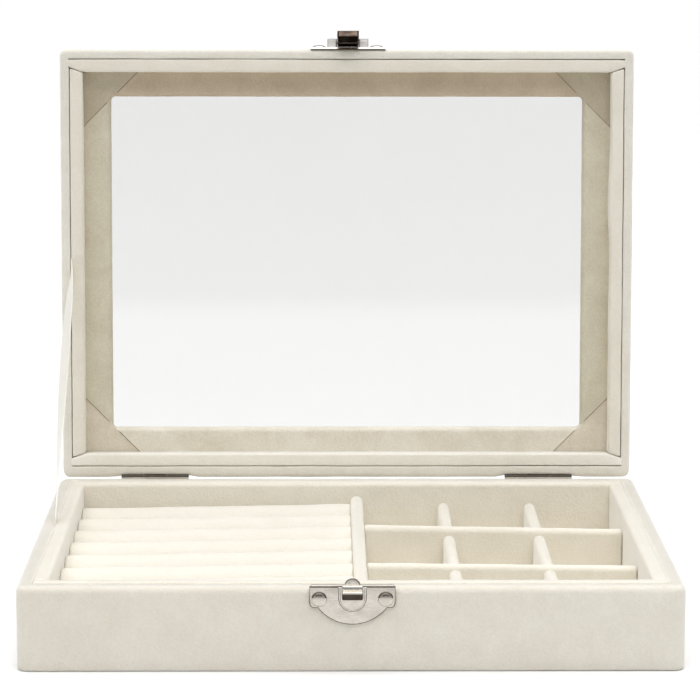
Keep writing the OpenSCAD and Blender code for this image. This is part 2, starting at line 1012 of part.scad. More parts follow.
module lid_front_board() {
    color("burlywood")
        lid_place()
            difference() {
                box(
                    [-lid_in_x, -lid_board_y, rim_z + skin],
                    [lid_in_x, -lid_in_y, top_skin_z]
                );
                nail_holes(hasp_face_y, hasp_nail_z, lid_nail_len);
            }
}

module lid_back_board() {
    color("burlywood")
        lid_place()
            difference() {
                box(
                    [-lid_in_x, lid_in_y, rim_z + skin],
                    [lid_in_x, lid_board_y, top_skin_z]
                );
                lid_hinge_cut();
            }
}

module lid_hinge_cut() {
    for (side = [-1, 1]) {
        x = side * hinge_x;
        end = hinge_w / 2 + fit_gap;
        rod_x(x - end, x + end, hinge_y, hinge_z, knuckle_clear);
        box(
            [x - end, lid_leaf_y - fit_gap, rim_z + skin - eps],
            [x + end, lid_leaf_y + leaf_slot, rim_z + skin + leaf_h + fit_gap]
        );
        box(
            [x - end, lid_leaf_y - fit_gap, rim_z - over],
            [x + end, lid_half_d + over, lid_web_z + leaf_t + fit_gap]
        );
    }
}

module window_plan(grow) {
    round_plan(win_x + grow, win_y + grow, window_r + grow);
}

module lid_top_frame_board() {
    color("burlywood")
        lid_place()
            slab(top_board_z, top_skin_z)
                difference() {
                    plan(lid_in_x, lid_in_y);
                    window_plan(skin);
                }
}

module glass_spacer_frame() {
    color("peru")
        lid_place()
            slab(glass_z, top_board_z)
                difference() {
                    plan(lid_in_x, lid_in_y);
                    plan(
                        win_x + glass_margin + fit_gap,
                        win_y + glass_margin + fit_gap
                    );
                }
}

module lid_glass() {
    color("lightcyan", 0.4)
        lid_place()
            slab(glass_z, top_board_z)
                plan(win_x + glass_margin, win_y + glass_margin);
}

// velvet over the lid's top, sides and rim, and round the window
module lid_outer_velvet() {
    color("antiquewhite")
        lid_place()
            difference() {
                soft_block(
                    lid_half_w, lid_half_d, rim_z, lid_top_z,
                    lid_corner_r, lid_rim_r, lid_top_r
                );
                slab(rim_z - over, glass_z) plan(lid_seam_x, lid_seam_y);
                slab(rim_z + skin, top_skin_z)
                    difference() {
                        round_plan(lid_board_x, lid_board_y, lid_corner_r - skin);
                        plan(lid_in_x, lid_in_y);
                    }
                slab(glass_z - eps, top_board_z) plan(lid_in_x, lid_in_y);
                slab(top_board_z - eps, top_skin_z)
                    difference() {
                        plan(lid_in_x, lid_in_y);
                        window_plan(skin);
                    }
                slab(top_board_z - over, lid_top_z + over) window_plan(0);
                seam_cut(lid_seam_x, lid_seam_y, rim_z, -1);
                lid_hinge_cut();
                lid_ribbon_pocket();
                nail_holes(hasp_face_y, hasp_nail_z, lid_nail_len);
            }
}

// lid linings hang upside down, their crowns at the rim
module lid_flip() {
    translate([0, 0, rim_z + border_z])
        mirror([0, 0, 1])
            children();
}

module lid_lining_front() {
    color("linen")
        lid_place()
            lid_flip()
                long_lining(lid_seam_x, lid_seam_y, rim_z, border_z, lid_lining_t);
}

module lid_lining_back() {
    color("linen")
        lid_place()
            lid_flip()
                rotate([0, 0, 180])
                    long_lining(lid_seam_x, lid_seam_y, rim_z, border_z, lid_lining_t);
}

module lid_lining_left() {
    color("linen")
        lid_place()
            difference() {
                lid_flip()
                    short_lining(lid_seam_x, lid_seam_y, rim_z, border_z, lid_lining_t);
                lid_ribbon_pocket();
            }
}

module lid_lining_right() {
    color("linen")
        lid_place()
            lid_flip()
                rotate([0, 0, 180])
                    short_lining(lid_seam_x, lid_seam_y, rim_z, border_z, lid_lining_t);
}

// border round the inside of the window
module window_border_board() {
    color("peru")
        lid_place()
            slab(border_board_z, glass_z)
                difference() {
                    plan(lid_seam_x - fit_gap, lid_seam_y - fit_gap);
                    window_plan(border_velvet_t);
                }
}

// section of a border strip: face towards the rim, turned round the window edge
module border_profile(reach) {
    h = border_velvet_t + border_board_t;
    difference() {
        square([reach, h]);
        translate([border_velvet_t, border_velvet_t])
            square([reach, h]);
        translate([border_turn_r, 0])
            mirror([1, 0])
                corner_bite(border_turn_r, -1);
    }
}

// keeps what lies on the window's side of the line of the corner patches
module between_patches(long) {
    inner = (long ? win_y : win_x) - over;
    outer = (long ? lid_seam_y : lid_seam_x) - fit_gap;
    slab(border_z - over, glass_z + over)
        polygon([
            [-(patch_sum - outer), outer], [patch_sum - outer, outer],
            [patch_sum - inner, inner], [-(patch_sum - inner), inner]
        ]);
}

module border_strip(long) {
    across = long ? win_y : win_x;
    run = long ? win_x : win_y;
    reach = (long ? lid_seam_y : lid_seam_x) - fit_gap - across;
    intersection() {
        translate([-run, across, border_z])
            rotate([90, 0, 90])
                linear_extrude(2 * run)
                    border_profile(reach);
        between_patches(long);
    }
}

module window_border_long_strips() {
    color("wheat")
        lid_place()
            for (side = [0, 180])
                rotate([0, 0, side])
                    border_strip(true);
}

module window_border_short_strips() {
    color("wheat")
        lid_place()
            for (side = [90, 270])
                rotate([0, 0, side])
                    border_strip(false);
}

module window_corner_patches() {
    x = lid_seam_x - fit_gap;
    y = lid_seam_y - fit_gap;
    color("tan")
        lid_place()
            for (sx = [-1, 1])
                for (sy = [-1, 1])
                    scale([sx, sy, 1])
                        slab(border_board_z - patch_t, border_board_z)
                            difference() {
                                polygon([[patch_sum - y, y], [x, y], [x, patch_sum - x]]);
                                window_plan(border_velvet_t);
                            }
}

// hasp on the lid's front
module hasp_plate() {
    end = hasp_knuckle_w / 2;
    slot = hasp_w / 2 + knuckle_gap;
    r = hasp_knuckle_d / 2;
    color("gainsboro")
        lid_place()
            difference() {
                union() {
                    translate([0, 0, rim_z + plate_edge_gap])
                        mirror([0, 0, 1])
                            plate_on(hasp_face_y, 0, plate_t)
                                plate_outline(plate_ear_h, hasp_plate_h);
                    rod_x(catch_x - end, catch_x + end, hasp_y, hasp_z, r);
                    box(
                        [catch_x - end, hasp_y, hasp_z],
                        [catch_x + end, hasp_face_y - plate_t + eps, hasp_z + r]
                    );
                }
                box(
                    [catch_x - slot, hasp_face_y - hasp_reach, rim_z],
                    [catch_x + slot, hasp_face_y - plate_t, lid_top_z]
                );
                rod_x(
                    catch_x - end - over, catch_x + end + over, hasp_y, hasp_z,
                    hasp_pin_d / 2
                );
                nail_holes(hasp_face_y, hasp_nail_z, lid_nail_len);
            }
}

module hasp_nails() {
    color("silver")
        lid_place()
            nails(hasp_face_y, hasp_nail_z, lid_nail_len);
}

module hasp_pin() {
    color("silver")
        lid_place()
            rod_x(
                catch_x - hasp_knuckle_w / 2, catch_x + hasp_knuckle_w / 2,
                hasp_y, hasp_z, hasp_pin_d / 2
            );
}

// side of the hasp's channel, y forwards of the pin, z above it
module hasp_side() {
    turn_r = hasp_knuckle_d / 2 - knuckle_gap;
    front = hasp_y - (hasp_face_y - hasp_reach);
    lid_back = hasp_knuckle_d / 2 - hasp_clear;
    base_back = pad_face_y - hasp_clear - hasp_y;
    step_z = rim_z - hasp_z;
    circle(turn_r);
    translate([-front, -turn_r])
        square([front, 2 * turn_r]);
    translate([-front, step_z])
        square([front + lid_back, -step_z - turn_r + eps]);
    translate([-front, -hasp_len])
        square([front + base_back, hasp_len + step_z + eps]);
}

module swinging_hasp() {
    turn_r = hasp_knuckle_d / 2 - knuckle_gap;
    front = hasp_y - (hasp_face_y - hasp_reach);
    inner = hasp_w / 2 - hasp_t;
    color("slategray")
        lid_place()
            difference() {
                translate([catch_x - hasp_w / 2, hasp_y, hasp_z])
                    rotate([90, 0, 90])
                        linear_extrude(hasp_w)
                            hasp_side();
                box(
                    [
                        catch_x - inner,
                        hasp_y - front + hasp_t,
                        hasp_z - hasp_len - over
                    ],
                    [catch_x + inner, hasp_face_y, hasp_z + turn_r - hasp_t]
                );
                rod_x(
                    catch_x - hasp_w, catch_x + hasp_w, hasp_y, hasp_z,
                    hasp_pin_d / 2 + pin_gap
                );
            }
}

base_floor_board();
base_front_board();
base_back_board();
base_left_board();
base_right_board();
base_outer_velvet();
base_underside_cover();
base_lining_front();
base_lining_back();
base_lining_left();
base_lining_right();
ring_roll_card();
ring_roll_foam_cores();
for (i = [1:roll_count])
    ring_roll(i);
main_divider();
main_divider_card();
cross_divider_rear();
cross_divider_front();
long_divider_left();
long_divider_right();
grid_divider_cards();
compartment_floor_pad();
catch_plate();
catch_nose();
catch_nails();
hinge_base_leaf_left();
hinge_base_leaf_right();
hinge_pins();
ribbon_stay();
lid_front_board();
lid_back_board();
lid_left_board();
lid_right_board();
lid_top_frame_board();
lid_outer_velvet();
lid_lining_front();
lid_lining_back();
lid_lining_left();
lid_lining_right();
window_border_board();
window_border_long_strips();
window_border_short_strips();
window_corner_patches();
lid_glass();
glass_spacer_frame();
hinge_lid_leaf_left();
hinge_lid_leaf_right();
hasp_plate();
hasp_nails();
hasp_pin();
swinging_hasp();
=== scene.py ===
# %% [markdown]
# # A velvet ring display box
# A low box covered in short cream velvet stands open. Eight soft ring rolls lie on the left,
# nine small compartments on the right, and a thin glazed lid leans back on a ribbon stay.
# The construction is loaded first and never changed. Every piece made here rides on it.

# %% Load the construction
import math
import bmesh
import bpy
from mathutils import Matrix, Vector, noise


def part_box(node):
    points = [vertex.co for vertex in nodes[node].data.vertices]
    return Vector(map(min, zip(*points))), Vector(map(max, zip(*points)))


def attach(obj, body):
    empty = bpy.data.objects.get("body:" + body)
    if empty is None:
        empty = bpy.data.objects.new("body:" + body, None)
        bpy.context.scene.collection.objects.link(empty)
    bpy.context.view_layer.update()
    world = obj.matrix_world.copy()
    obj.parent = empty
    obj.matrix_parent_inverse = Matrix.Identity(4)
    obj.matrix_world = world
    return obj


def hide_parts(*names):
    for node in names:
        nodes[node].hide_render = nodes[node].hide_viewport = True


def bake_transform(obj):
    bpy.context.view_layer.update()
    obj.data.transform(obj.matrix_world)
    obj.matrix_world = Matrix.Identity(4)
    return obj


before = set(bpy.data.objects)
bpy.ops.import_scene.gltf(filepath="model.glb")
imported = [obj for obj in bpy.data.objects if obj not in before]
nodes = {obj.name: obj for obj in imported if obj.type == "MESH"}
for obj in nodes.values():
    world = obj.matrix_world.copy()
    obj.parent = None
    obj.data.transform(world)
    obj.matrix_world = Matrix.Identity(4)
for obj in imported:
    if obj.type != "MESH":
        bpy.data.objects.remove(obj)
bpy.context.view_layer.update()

MM = 0.001
scene = bpy.context.scene

# %% [markdown]
# ## The camera
# The lens and the place come from the corners of the box in the photograph: a long lens nearly a
# metre away, looking ten degrees down.

# %% Set the camera
FOCAL_PX = 2835.0
CAMERA_AT = Vector((-9.25, -892.17, 241.05)) * MM
YAW, PITCH, ROLL = (math.radians(a) for a in (0.61, 9.96, 0.10))

ahead = Vector((math.sin(YAW) * math.cos(PITCH), math.cos(YAW) * math.cos(PITCH), -math.sin(PITCH)))
right = Vector((math.cos(YAW), -math.sin(YAW), 0))
up = right.cross(ahead)
right_r = right * math.cos(ROLL) + up * math.sin(ROLL)
up_r = up * math.cos(ROLL) - right * math.sin(ROLL)
lens = bpy.data.cameras.new("camera")
lens.sensor_width = 36
lens.lens = 36 * FOCAL_PX / 700
lens.clip_start = 0.05
lens.clip_end = 60
camera = bpy.data.objects.new("camera", lens)
camera.matrix_world = Matrix.Translation(CAMERA_AT) @ Matrix((right_r, up_r, -ahead)).transposed().to_4x4()
scene.collection.objects.link(camera)
scene.camera = camera
print("lens", round(lens.lens, 1), "mm")

# %% [markdown]
# ## Sizes
# These repeat the construction's sizes in millimetres, so that the covers fit the boards. The
# construction's own corners are read back and printed beside them as a check.

# %% Sizes of the box
HALF_W, HALF_D, RIM = 100.0, 75.0, 26.0
SKIN, BOARD, PAD = 0.7, 3.4, 4.3
SEAM_X, SEAM_Y = HALF_W - 2 * SKIN - BOARD, HALF_D - 2 * SKIN - BOARD
TRAY_X, TRAY_Y = SEAM_X - PAD, SEAM_Y - PAD
FLOOR = 3.7
LID_W, LID_D = 98.85, 73.85
LID_RIM, LID_TOP = 26.3, 40.0
LID_SEAM_X, LID_SEAM_Y = 95.25, 70.25
LID_LINE, LID_PAD = 0.45, 4.15
HINGE_X, HINGE_HALF = 66.8, 12.0
BORDER, GLASS_IN, GLASS_OUT = 31.3, 34.5, 36.5
WIN_X, WIN_Y, WIN_R = 81.75, 57.7, 1.9
WIN_OUT, WIN_OUT_Y = 1.05, 0.7
HINGE = Vector((0, 74.4, 26.35))
LID_OPEN = 94.4
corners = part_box("base_outer_velvet")
print("base from the construction:", [tuple(round(c * 1000, 1) for c in p) for p in corners])

# %% [markdown]
# ## Two ways to make a cover
# A cover round the whole box is a skin: a stack of rounded rectangles joined edge to edge, like
# cloth drawn over boards. A padded strip is a bar: one rounded section drawn along a line, with
# the ends pulled in as glued cloth is. Both are then swelled a little by a smooth noise, because
# cloth over board is never quite flat.

# %% Helpers: profiles
def arc(cx, cy, r, a0, a1, steps=6):
    """Points of an arc, angles in degrees."""
    turn = [math.radians(a0 + (a1 - a0) * i / steps) for i in range(steps + 1)]
    return [(cx + r * math.cos(t), cy + r * math.sin(t)) for t in turn]


def rounded(corners, steps=5):
    """A closed outline from (x, y, radius) corners, each rounded by its own radius."""
    out = []
    n = len(corners)
    for i, (x, y, r) in enumerate(corners):
        here = Vector((x, y))
        a = (Vector(corners[i - 1][:2]) - here).normalized()
        b = (Vector(corners[(i + 1) % n][:2]) - here).normalized()
        if r <= 0:
            out.append((x, y))
            continue
        half = math.acos(max(-1, min(1, a.dot(b)))) / 2
        reach = r / math.tan(half)
        centre = here + (a + b).normalized() * r / math.sin(half)
        p, q = here + a * reach - centre, here + b * reach - centre
        for k in range(steps + 1):
            v = p.slerp(q, k / steps)
            out.append(tuple(centre + v * r))
    return out


# %% Helpers: from a mesh to a piece
def lid_turn():
    """Takes a closed lid's piece to where the lid lies open."""
    t = Matrix.Translation(HINGE * MM)
    return t @ Matrix.Rotation(math.radians(-LID_OPEN), 4, "X") @ t.inverted()


def swell(bm, amount, size, seed):
    """Moves each point along its normal by a smooth noise, both in millimetres."""
    shift = Vector((seed * 7.31, seed * 3.17, seed * 5.77))
    bm.normal_update()
    for v in bm.verts:
        p = v.co / (size * MM) + shift
        n = noise.noise(p) + 0.5 * noise.noise(p * 2.3)
        v.co += v.normal * (n * amount * MM)


def piece(name, bm, body, replaced=(), lid=False, shade=40):
    """Turns a mesh into an object that rides on a body and stands for its nodes."""
    bmesh.ops.recalc_face_normals(bm, faces=bm.faces)
    if lid:
        bm.transform(lid_turn())
    mesh = bpy.data.meshes.new(name)
    bm.to_mesh(mesh)
    bm.free()
    obj = bpy.data.objects.new(name, mesh)
    scene.collection.objects.link(obj)
    mesh.shade_smooth()
    mesh.set_sharp_from_angle(angle=math.radians(shade))
    if body:
        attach(obj, body)
    if replaced:
        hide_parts(*replaced)
    return obj


def joined(*parts):
    """Several meshes in one."""
    whole = bmesh.new()
    for part in parts:
        mesh = bpy.data.meshes.new("part")
        bmesh.ops.recalc_face_normals(part, faces=part.faces)
        part.to_mesh(mesh)
        part.free()
        whole.from_mesh(mesh)
        bpy.data.meshes.remove(mesh)
    return whole


# %% Helpers: a skin of rounded rectangles
def ring(hx, hy, r, z, nx, ny, nc):
    """Points round a rounded rectangle, with as many on each part at every size."""
    points = []
    for k, (sx, sy) in enumerate(((1, 1), (-1, 1), (-1, -1), (1, -1))):
        cx, cy = sx * (hx - r), sy * (hy - r)
        corner = [(cx + u, cy + v) for u, v in arc(0, 0, r, 90 * k, 90 * k + 90, nc)]
        points += corner
        nsx, nsy = ((-1, 1), (-1, -1), (1, -1), (1, 1))[k]
        end = arc(nsx * (hx - r), nsy * (hy - r), r, 90 * k + 90, 90 * k + 90, 1)[0]
        n = nx if k % 2 == 0 else ny
        points += [(corner[-1][0] + (end[0] - corner[-1][0]) * i / n,
                    corner[-1][1] + (end[1] - corner[-1][1]) * i / n) for i in range(1, n)]
    return [Vector((x, y, z)) * MM for x, y in points]


def skin(rings, nx=56, ny=42, nc=6):
    """A closed cover through a list of (half width, half depth, corner radius, height)."""
    bm = bmesh.new()
    loops = [[bm.verts.new(p) for p in ring(*r, nx, ny, nc)] for r in rings]
    n = len(loops[0])
    for i, low in enumerate(loops):
        high = loops[(i + 1) % len(loops)]
        for j in range(n):
            k = (j + 1) % n
            bm.faces.new((low[j], low[k], high[k], high[j]))
    bmesh.ops.remove_doubles(bm, verts=bm.verts, dist=0.002 * MM)
    return bm


# %% Helpers: a bar with drawn-in ends
def bar(outline, s0, s1, place, end=0.6, step=2.0, dark=(), cut=0):
    """Draws an outline (u, v) along s. place(s, u, v) gives the point. The sides in dark, and the
    ends where cut is 1, get the piece's second material."""
    loop = [Vector(p) for p in outline]
    n = len(loop)
    area = sum(loop[i].cross(loop[(i + 1) % n]) for i in range(n))
    side = 1 if area > 0 else -1
    out = []
    for i in range(n):
        t = (loop[(i + 1) % n] - loop[i - 1])
        t = t.normalized() if t.length > 1e-9 else Vector((1, 0))
        out.append(Vector((t.y, -t.x)) * side)
    stations = [(s0 + end * (1 - math.cos(a)), end * (1 - math.sin(a)))
                for a in [math.radians(90 * i / 5) for i in range(6)]] if end else [(s0, 0)]
    count = max(1, round((s1 - s0 - 2 * end) / step))
    middle = [(s0 + end + (s1 - s0 - 2 * end) * i / count, 0) for i in range(1, count)]
    stations = stations + middle + [(s1 + s0 - s, e) for s, e in reversed(stations)]
    bm = bmesh.new()
    rows = []
    for s, e in stations:
        rows.append([bm.verts.new(place(s, *(loop[i] - out[i] * e)) * MM) for i in range(n)])
    for a, b in zip(rows, rows[1:]):
        for i in range(n):
            j = (i + 1) % n
            bm.faces.new((a[i], a[j], b[j], b[i])).material_index = 1 if i in dark else 0
    bm.faces.new(rows[0][::-1]).material_index = cut
    bm.faces.new(rows[-1]).material_index = cut
    bmesh.ops.triangulate(bm, faces=[f for f in bm.faces if len(f.verts) > 4])
    return bm


def along_x(s, u, v):
    return Vector((s, u, v))


# %% [markdown]
# ## Velvet
# Short velvet is a dense stand of fine fibres. From a step away it shows three things: a fine
# grain, soft blotches where the pile leans differently, and a pale glow at grazing angles. The
# grain and the blotches are one node group that every velvet here shares with its own sizes. The
# glow is the shader's sheen, set on its own socket in each material.

# %% A node group for pile
COLOUR, NUMBER = "NodeSocketColor", "NodeSocketFloat"


def object_place(tree):
    return tree.nodes.new("ShaderNodeTexCoord").outputs["Object"]


def new_group(name, outputs, **inputs):
    """An empty node group: its tree, its given values, its outputs and the object's place."""
    tree = bpy.data.node_groups.new(name, "ShaderNodeTree")
    for label, (kind, value) in inputs.items():
        socket = tree.interface.new_socket(label, in_out="INPUT", socket_type=kind)
        socket.default_value = value
    for label in outputs:
        kind = COLOUR if label == "Color" else NUMBER
        tree.interface.new_socket(label, in_out="OUTPUT", socket_type=kind)
    given = tree.nodes.new("NodeGroupInput").outputs
    out = tree.nodes.new("NodeGroupOutput").inputs
    return tree, given, out, object_place(tree)


def linked(tree, kind, links=(), **values):
    """A node with its inputs linked or set. links are (input, output socket)."""
    node = tree.nodes.new(kind)
    for name, value in values.items():
        setattr(node, name, value)
    for where, source in links:
        if hasattr(source, "is_output"):
            tree.links.new(source, node.inputs[where])
        else:
            node.inputs[where].default_value = source
    return node


def cloud(tree, vector, scale, detail, *more):
    """The value of a noise texture."""
    links = [("Vector", vector), ("Scale", scale), ("Detail", detail), *more]
    return linked(tree, "ShaderNodeTexNoise", links).outputs["Fac"]


def ramp(tree, value, low, high, to_low=0.0, to_high=1.0):
    """A value taken from one range to another."""
    links = [("Value", value), ("From Min", low), ("From Max", high)]
    links += [("To Min", to_low), ("To Max", to_high)]
    return linked(tree, "ShaderNodeMapRange", links).outputs[0]


def maths(tree, operation, *values, clamp=False):
    links = list(enumerate(values))
    return linked(tree, "ShaderNodeMath", links, operation=operation, use_clamp=clamp).outputs[0]


def mixed(tree, factor, a, b):
    """Two colours mixed, each a constant or a socket."""
    links = [("Factor", factor), ("A", a), ("B", b)]
    return linked(tree, "ShaderNodeMix", links, data_type="RGBA").outputs["Result"]


def pile_group():
    tree, given, out, place = new_group(
        "velvet_pile", ("Color", "Height"),
        Lit=(COLOUR, (0.8, 0.76, 0.66, 1)), Shaded=(COLOUR, (0.7, 0.64, 0.53, 1)),
        Grain=(NUMBER, 1500.0), Blotch=(NUMBER, 90.0), Lean=(NUMBER, 14.0), Contrast=(NUMBER, 0.5),
    )
    grain = cloud(tree, place, given["Grain"], 3.0, ("Roughness", 0.7))
    blotch = cloud(tree, place, given["Blotch"], 4.0, ("Roughness", 0.6), ("Distortion", 0.6))
    lean = cloud(tree, place, given["Lean"], 2.0)
    fine = ramp(tree, grain, 0.3, 0.7, -0.5, 0.5)
    soft = ramp(tree, blotch, 0.3, 0.7, -0.5, 0.5)
    wide = ramp(tree, lean, 0.3, 0.7, -0.3, 0.3)
    total = maths(tree, "ADD", maths(tree, "ADD", fine, soft), wide)
    mask = maths(tree, "MULTIPLY_ADD", total, given["Contrast"], 0.5, clamp=True)
    tree.links.new(mixed(tree, mask, given["Shaded"], given["Lit"]), out["Color"])
    tree.links.new(maths(tree, "MULTIPLY_ADD", soft, 0.5, fine), out["Height"])
    return tree


PILE = pile_group()
print("velvet group sockets:", [s.name for s in PILE.interface.items_tree])

# %% [markdown]
# Each velvet gets its own two colours. The rolls are an ivory cloth and the rest a cream one.
# Light and shade are painted into copies of the cloth: the lid's cover and its back lining are
# painted lighter, and the lid's border darker at the top and lighter at the bottom, as in
# the photograph. Those looks are set as materials of their own.

# %% Velvet materials
def surface(name, roughness, metallic=0.0, **sockets):
    """A material with a Principled shader whose constants are set on its sockets."""
    mat = bpy.data.materials.new(name)
    mat.use_nodes = True
    shader = mat.node_tree.nodes["Principled BSDF"]
    shader.inputs["Roughness"].default_value = roughness
    shader.inputs["Metallic"].default_value = metallic
    for socket, value in sockets.items():
        shader.inputs[socket.replace("_", " ")].default_value = value
    return mat, mat.node_tree, shader


def place_group(tree, group, values):
    node = tree.nodes.new("ShaderNodeGroup")
    node.node_tree = group
    for name, value in values.items():
        node.inputs[name].default_value = value
    return node


def bump(tree, shader, height, strength, distance):
    links = [("Height", height), ("Strength", strength), ("Distance", distance)]
    node = linked(tree, "ShaderNodeBump", links)
    tree.links.new(node.outputs["Normal"], shader.inputs["Normal"])


def velvet(name, lit, shaded, grain=1500.0, blotch=90.0, contrast=0.5, sheen=0.25, depth=0.5):
    mat, tree, shader = surface(name, 0.95, Sheen_Weight=sheen, Sheen_Roughness=0.45, Specular_IOR_Level=0.15)
    values = {"Lit": (*lit, 1), "Shaded": (*shaded, 1)}
    values.update(Grain=grain, Blotch=blotch, Contrast=contrast)
    group = place_group(tree, PILE, values)
    tree.links.new(group.outputs["Color"], shader.inputs["Base Color"])
    bump(tree, shader, group.outputs["Height"], depth, 0.25 * MM)
    return mat


CREAM = velvet("cream_velvet", (0.84, 0.80, 0.715), (0.74, 0.69, 0.595), sheen=0.9)
# The lid's cover is the same cream cloth painted lighter: painted light on the lid.
LID_CREAM_PAINTED_LIT = velvet("cream_velvet_of_the_lid_painted_lighter", (0.90, 0.87, 0.79), (0.79, 0.75, 0.66), sheen=0.5)
PALE = velvet("pale_lining_velvet", (0.90, 0.86, 0.765), (0.82, 0.77, 0.665), grain=1300.0, sheen=0.8)
# The lid's back lining, at the bottom of the open lid, is the pale cloth painted lighter: painted light.
PALE_PAINTED_LIT = velvet("pale_lining_painted_lighter", (0.97, 0.94, 0.86), (0.90, 0.86, 0.77),
                  grain=1300.0, sheen=0.8)
IVORY = velvet("ivory_roll_velvet", (0.835, 0.80, 0.725), (0.775, 0.74, 0.65),
               grain=1100.0, contrast=0.35, sheen=0.35)
# The border round the window is the cream cloth with light and shade painted in: a little darker and warmer
# at the sides, dark at the top where the lining shades it, lighter at the bottom.
BORDER_SIDE_SHADE = velvet("border_velvet_painted_shade_at_the_sides", (0.74, 0.70, 0.56), (0.61, 0.55, 0.425),
                contrast=0.7, sheen=0.3)
BORDER_TOP_SHADOW = velvet("border_velvet_painted_shadow_at_the_top", (0.65, 0.55, 0.42), (0.53, 0.44, 0.32),
                 contrast=0.7, sheen=0.2)
BORDER_BOTTOM_LIGHT = velvet("border_velvet_painted_light_at_the_bottom", (0.90, 0.85, 0.75), (0.75, 0.69, 0.57),
                 contrast=0.7, sheen=0.4)
# The corner patches: painted shadow for the two at the top of the open lid, painted light for the two at the
# bottom.
PATCH_TOP_SHADOW = velvet("corner_patch_painted_shadow", (0.63, 0.57, 0.44), (0.51, 0.445, 0.33),
                    contrast=0.7, sheen=0.25)
PATCH_BOTTOM_LIGHT = velvet("corner_patch_painted_light", (0.83, 0.77, 0.65), (0.68, 0.61, 0.49),
                   contrast=0.7, sheen=0.25)
print("velvets:", [m.name for m in bpy.data.materials if "velvet" in m.name or "patch" in m.name])

# %% [markdown]
# ## Boards, card and foam
# They are hidden in the finished box, but a cut view or a missing cover would show them: pressed
# board has short chips of darker fibre, grey card is even with specks, foam has open cells.

# %% A node group for specks and a few plain materials
def speck_group():
    tree, given, out, place = new_group(
        "specks", ("Color", "Height"),
        Ground=(COLOUR, (0.6, 0.5, 0.36, 1)), Speck=(COLOUR, (0.4, 0.3, 0.2, 1)),
        Size=(NUMBER, 900.0), Amount=(NUMBER, 0.5),
    )
    cells = linked(tree, "ShaderNodeTexVoronoi", [("Vector", place), ("Scale", given["Size"])])
    both = maths(tree, "MULTIPLY", cells.outputs["Distance"], cloud(tree, place, 160.0, 5.0))
    mask = maths(tree, "MULTIPLY", both, given["Amount"], clamp=True)
    tree.links.new(mixed(tree, mask, given["Ground"], given["Speck"]), out["Color"])
    tree.links.new(both, out["Height"])
    return tree


SPECKS = speck_group()


def specked(name, ground, speck, size, amount, roughness):
    mat, tree, shader = surface(name, roughness)
    values = {"Ground": (*ground, 1), "Speck": (*speck, 1), "Size": size, "Amount": amount}
    group = place_group(tree, SPECKS, values)
    tree.links.new(group.outputs["Color"], shader.inputs["Base Color"])
    bump(tree, shader, group.outputs["Height"], 0.4, 0.1 * MM)
    return mat


BOARD_MAT = specked("pressed_board", (0.50, 0.37, 0.23), (0.30, 0.20, 0.12), 1400.0, 1.2, 0.8)
CARD_MAT = specked("grey_card", (0.46, 0.41, 0.34), (0.30, 0.26, 0.22), 2200.0, 0.9, 0.9)
FOAM_MAT = specked("roll_foam", (0.86, 0.82, 0.66), (0.62, 0.56, 0.40), 1800.0, 1.4, 1.0)
# The border strips' cut ends: the cloth's bare backing, painted darker still as the shade in the seam at the
# patches.
CUT_EDGE_AND_SHADE = specked("cut_edge_of_cloth_and_painted_shade", (0.40, 0.32, 0.23), (0.24, 0.18, 0.12), 3000.0, 1.0, 0.95)
UNDER_MAT = specked("underside_cloth", (0.60, 0.54, 0.44), (0.48, 0.42, 0.33), 2600.0, 1.0, 0.95)

# %% [markdown]
# ## Metal
# The catch is thin steel, nickel plated: bright, a little milky, with fine drawn lines. The
# swinging hasp is darker, like old bronze. Both use one group of fine scratches.

# %% A node group for drawn metal
def drawn_group():
    tree, given, out, place = new_group(
        "drawn_metal", ("Color", "Roughness", "Height"),
        Bright=(COLOUR, (0.8, 0.79, 0.77, 1)), Dull=(COLOUR, (0.6, 0.58, 0.55, 1)),
        Smooth=(NUMBER, 0.18), Rough=(NUMBER, 0.4),
    )
    drawn = [("Vector", place), ("Scale", (300.0, 6000.0, 6000.0))]
    lines = cloud(tree, linked(tree, "ShaderNodeMapping", drawn).outputs[0], 1.0, 3.0)
    both = maths(tree, "MULTIPLY", lines, cloud(tree, place, 350.0, 4.0))
    mask = ramp(tree, both, 0.1, 0.4)
    links = [("Factor", mask), ("A", given["Rough"]), ("B", given["Smooth"])]
    rough = linked(tree, "ShaderNodeMix", links)
    tree.links.new(mixed(tree, mask, given["Dull"], given["Bright"]), out["Color"])
    tree.links.new(rough.outputs["Result"], out["Roughness"])
    tree.links.new(lines, out["Height"])
    return tree


DRAWN = drawn_group()


def plated(name, bright, dull, smooth, rough):
    mat, tree, shader = surface(name, smooth, metallic=1.0)
    values = {"Bright": (*bright, 1), "Dull": (*dull, 1), "Smooth": smooth, "Rough": rough}
    group = place_group(tree, DRAWN, values)
    tree.links.new(group.outputs["Color"], shader.inputs["Base Color"])
    tree.links.new(group.outputs["Roughness"], shader.inputs["Roughness"])
    bump(tree, shader, group.outputs["Height"], 0.15, 0.02 * MM)
    return mat


NICKEL = plated("nickel_plate", (0.635, 0.60, 0.54), (0.505, 0.47, 0.42), 0.2, 0.38)
# Partly real and partly painted: the bare dark edges of the stamped plates, darkened further as painted
# shadow of the gap to the velvet. It also gives painted dark reflection and shade on the nail heads.
EDGE_METAL_AND_SHADE = plated("bare_edge_metal_and_painted_shade", (0.20, 0.165, 0.135), (0.12, 0.095, 0.075), 0.4, 0.6)
DULL_NICKEL = plated("dull_nickel", (0.36, 0.345, 0.33), (0.29, 0.275, 0.26), 0.2, 0.45)
# Painted shade: the hook's dark underside and the dark edge of the raised U, where the hollow lies in shade.
HOOK_PAINTED_SHADE = plated("painted_shade_in_the_hook", (0.11, 0.09, 0.075), (0.055, 0.045, 0.035), 0.45, 0.65)
BRONZE = plated("dark_bronze", (0.13, 0.095, 0.075), (0.06, 0.043, 0.034), 0.25, 0.5)


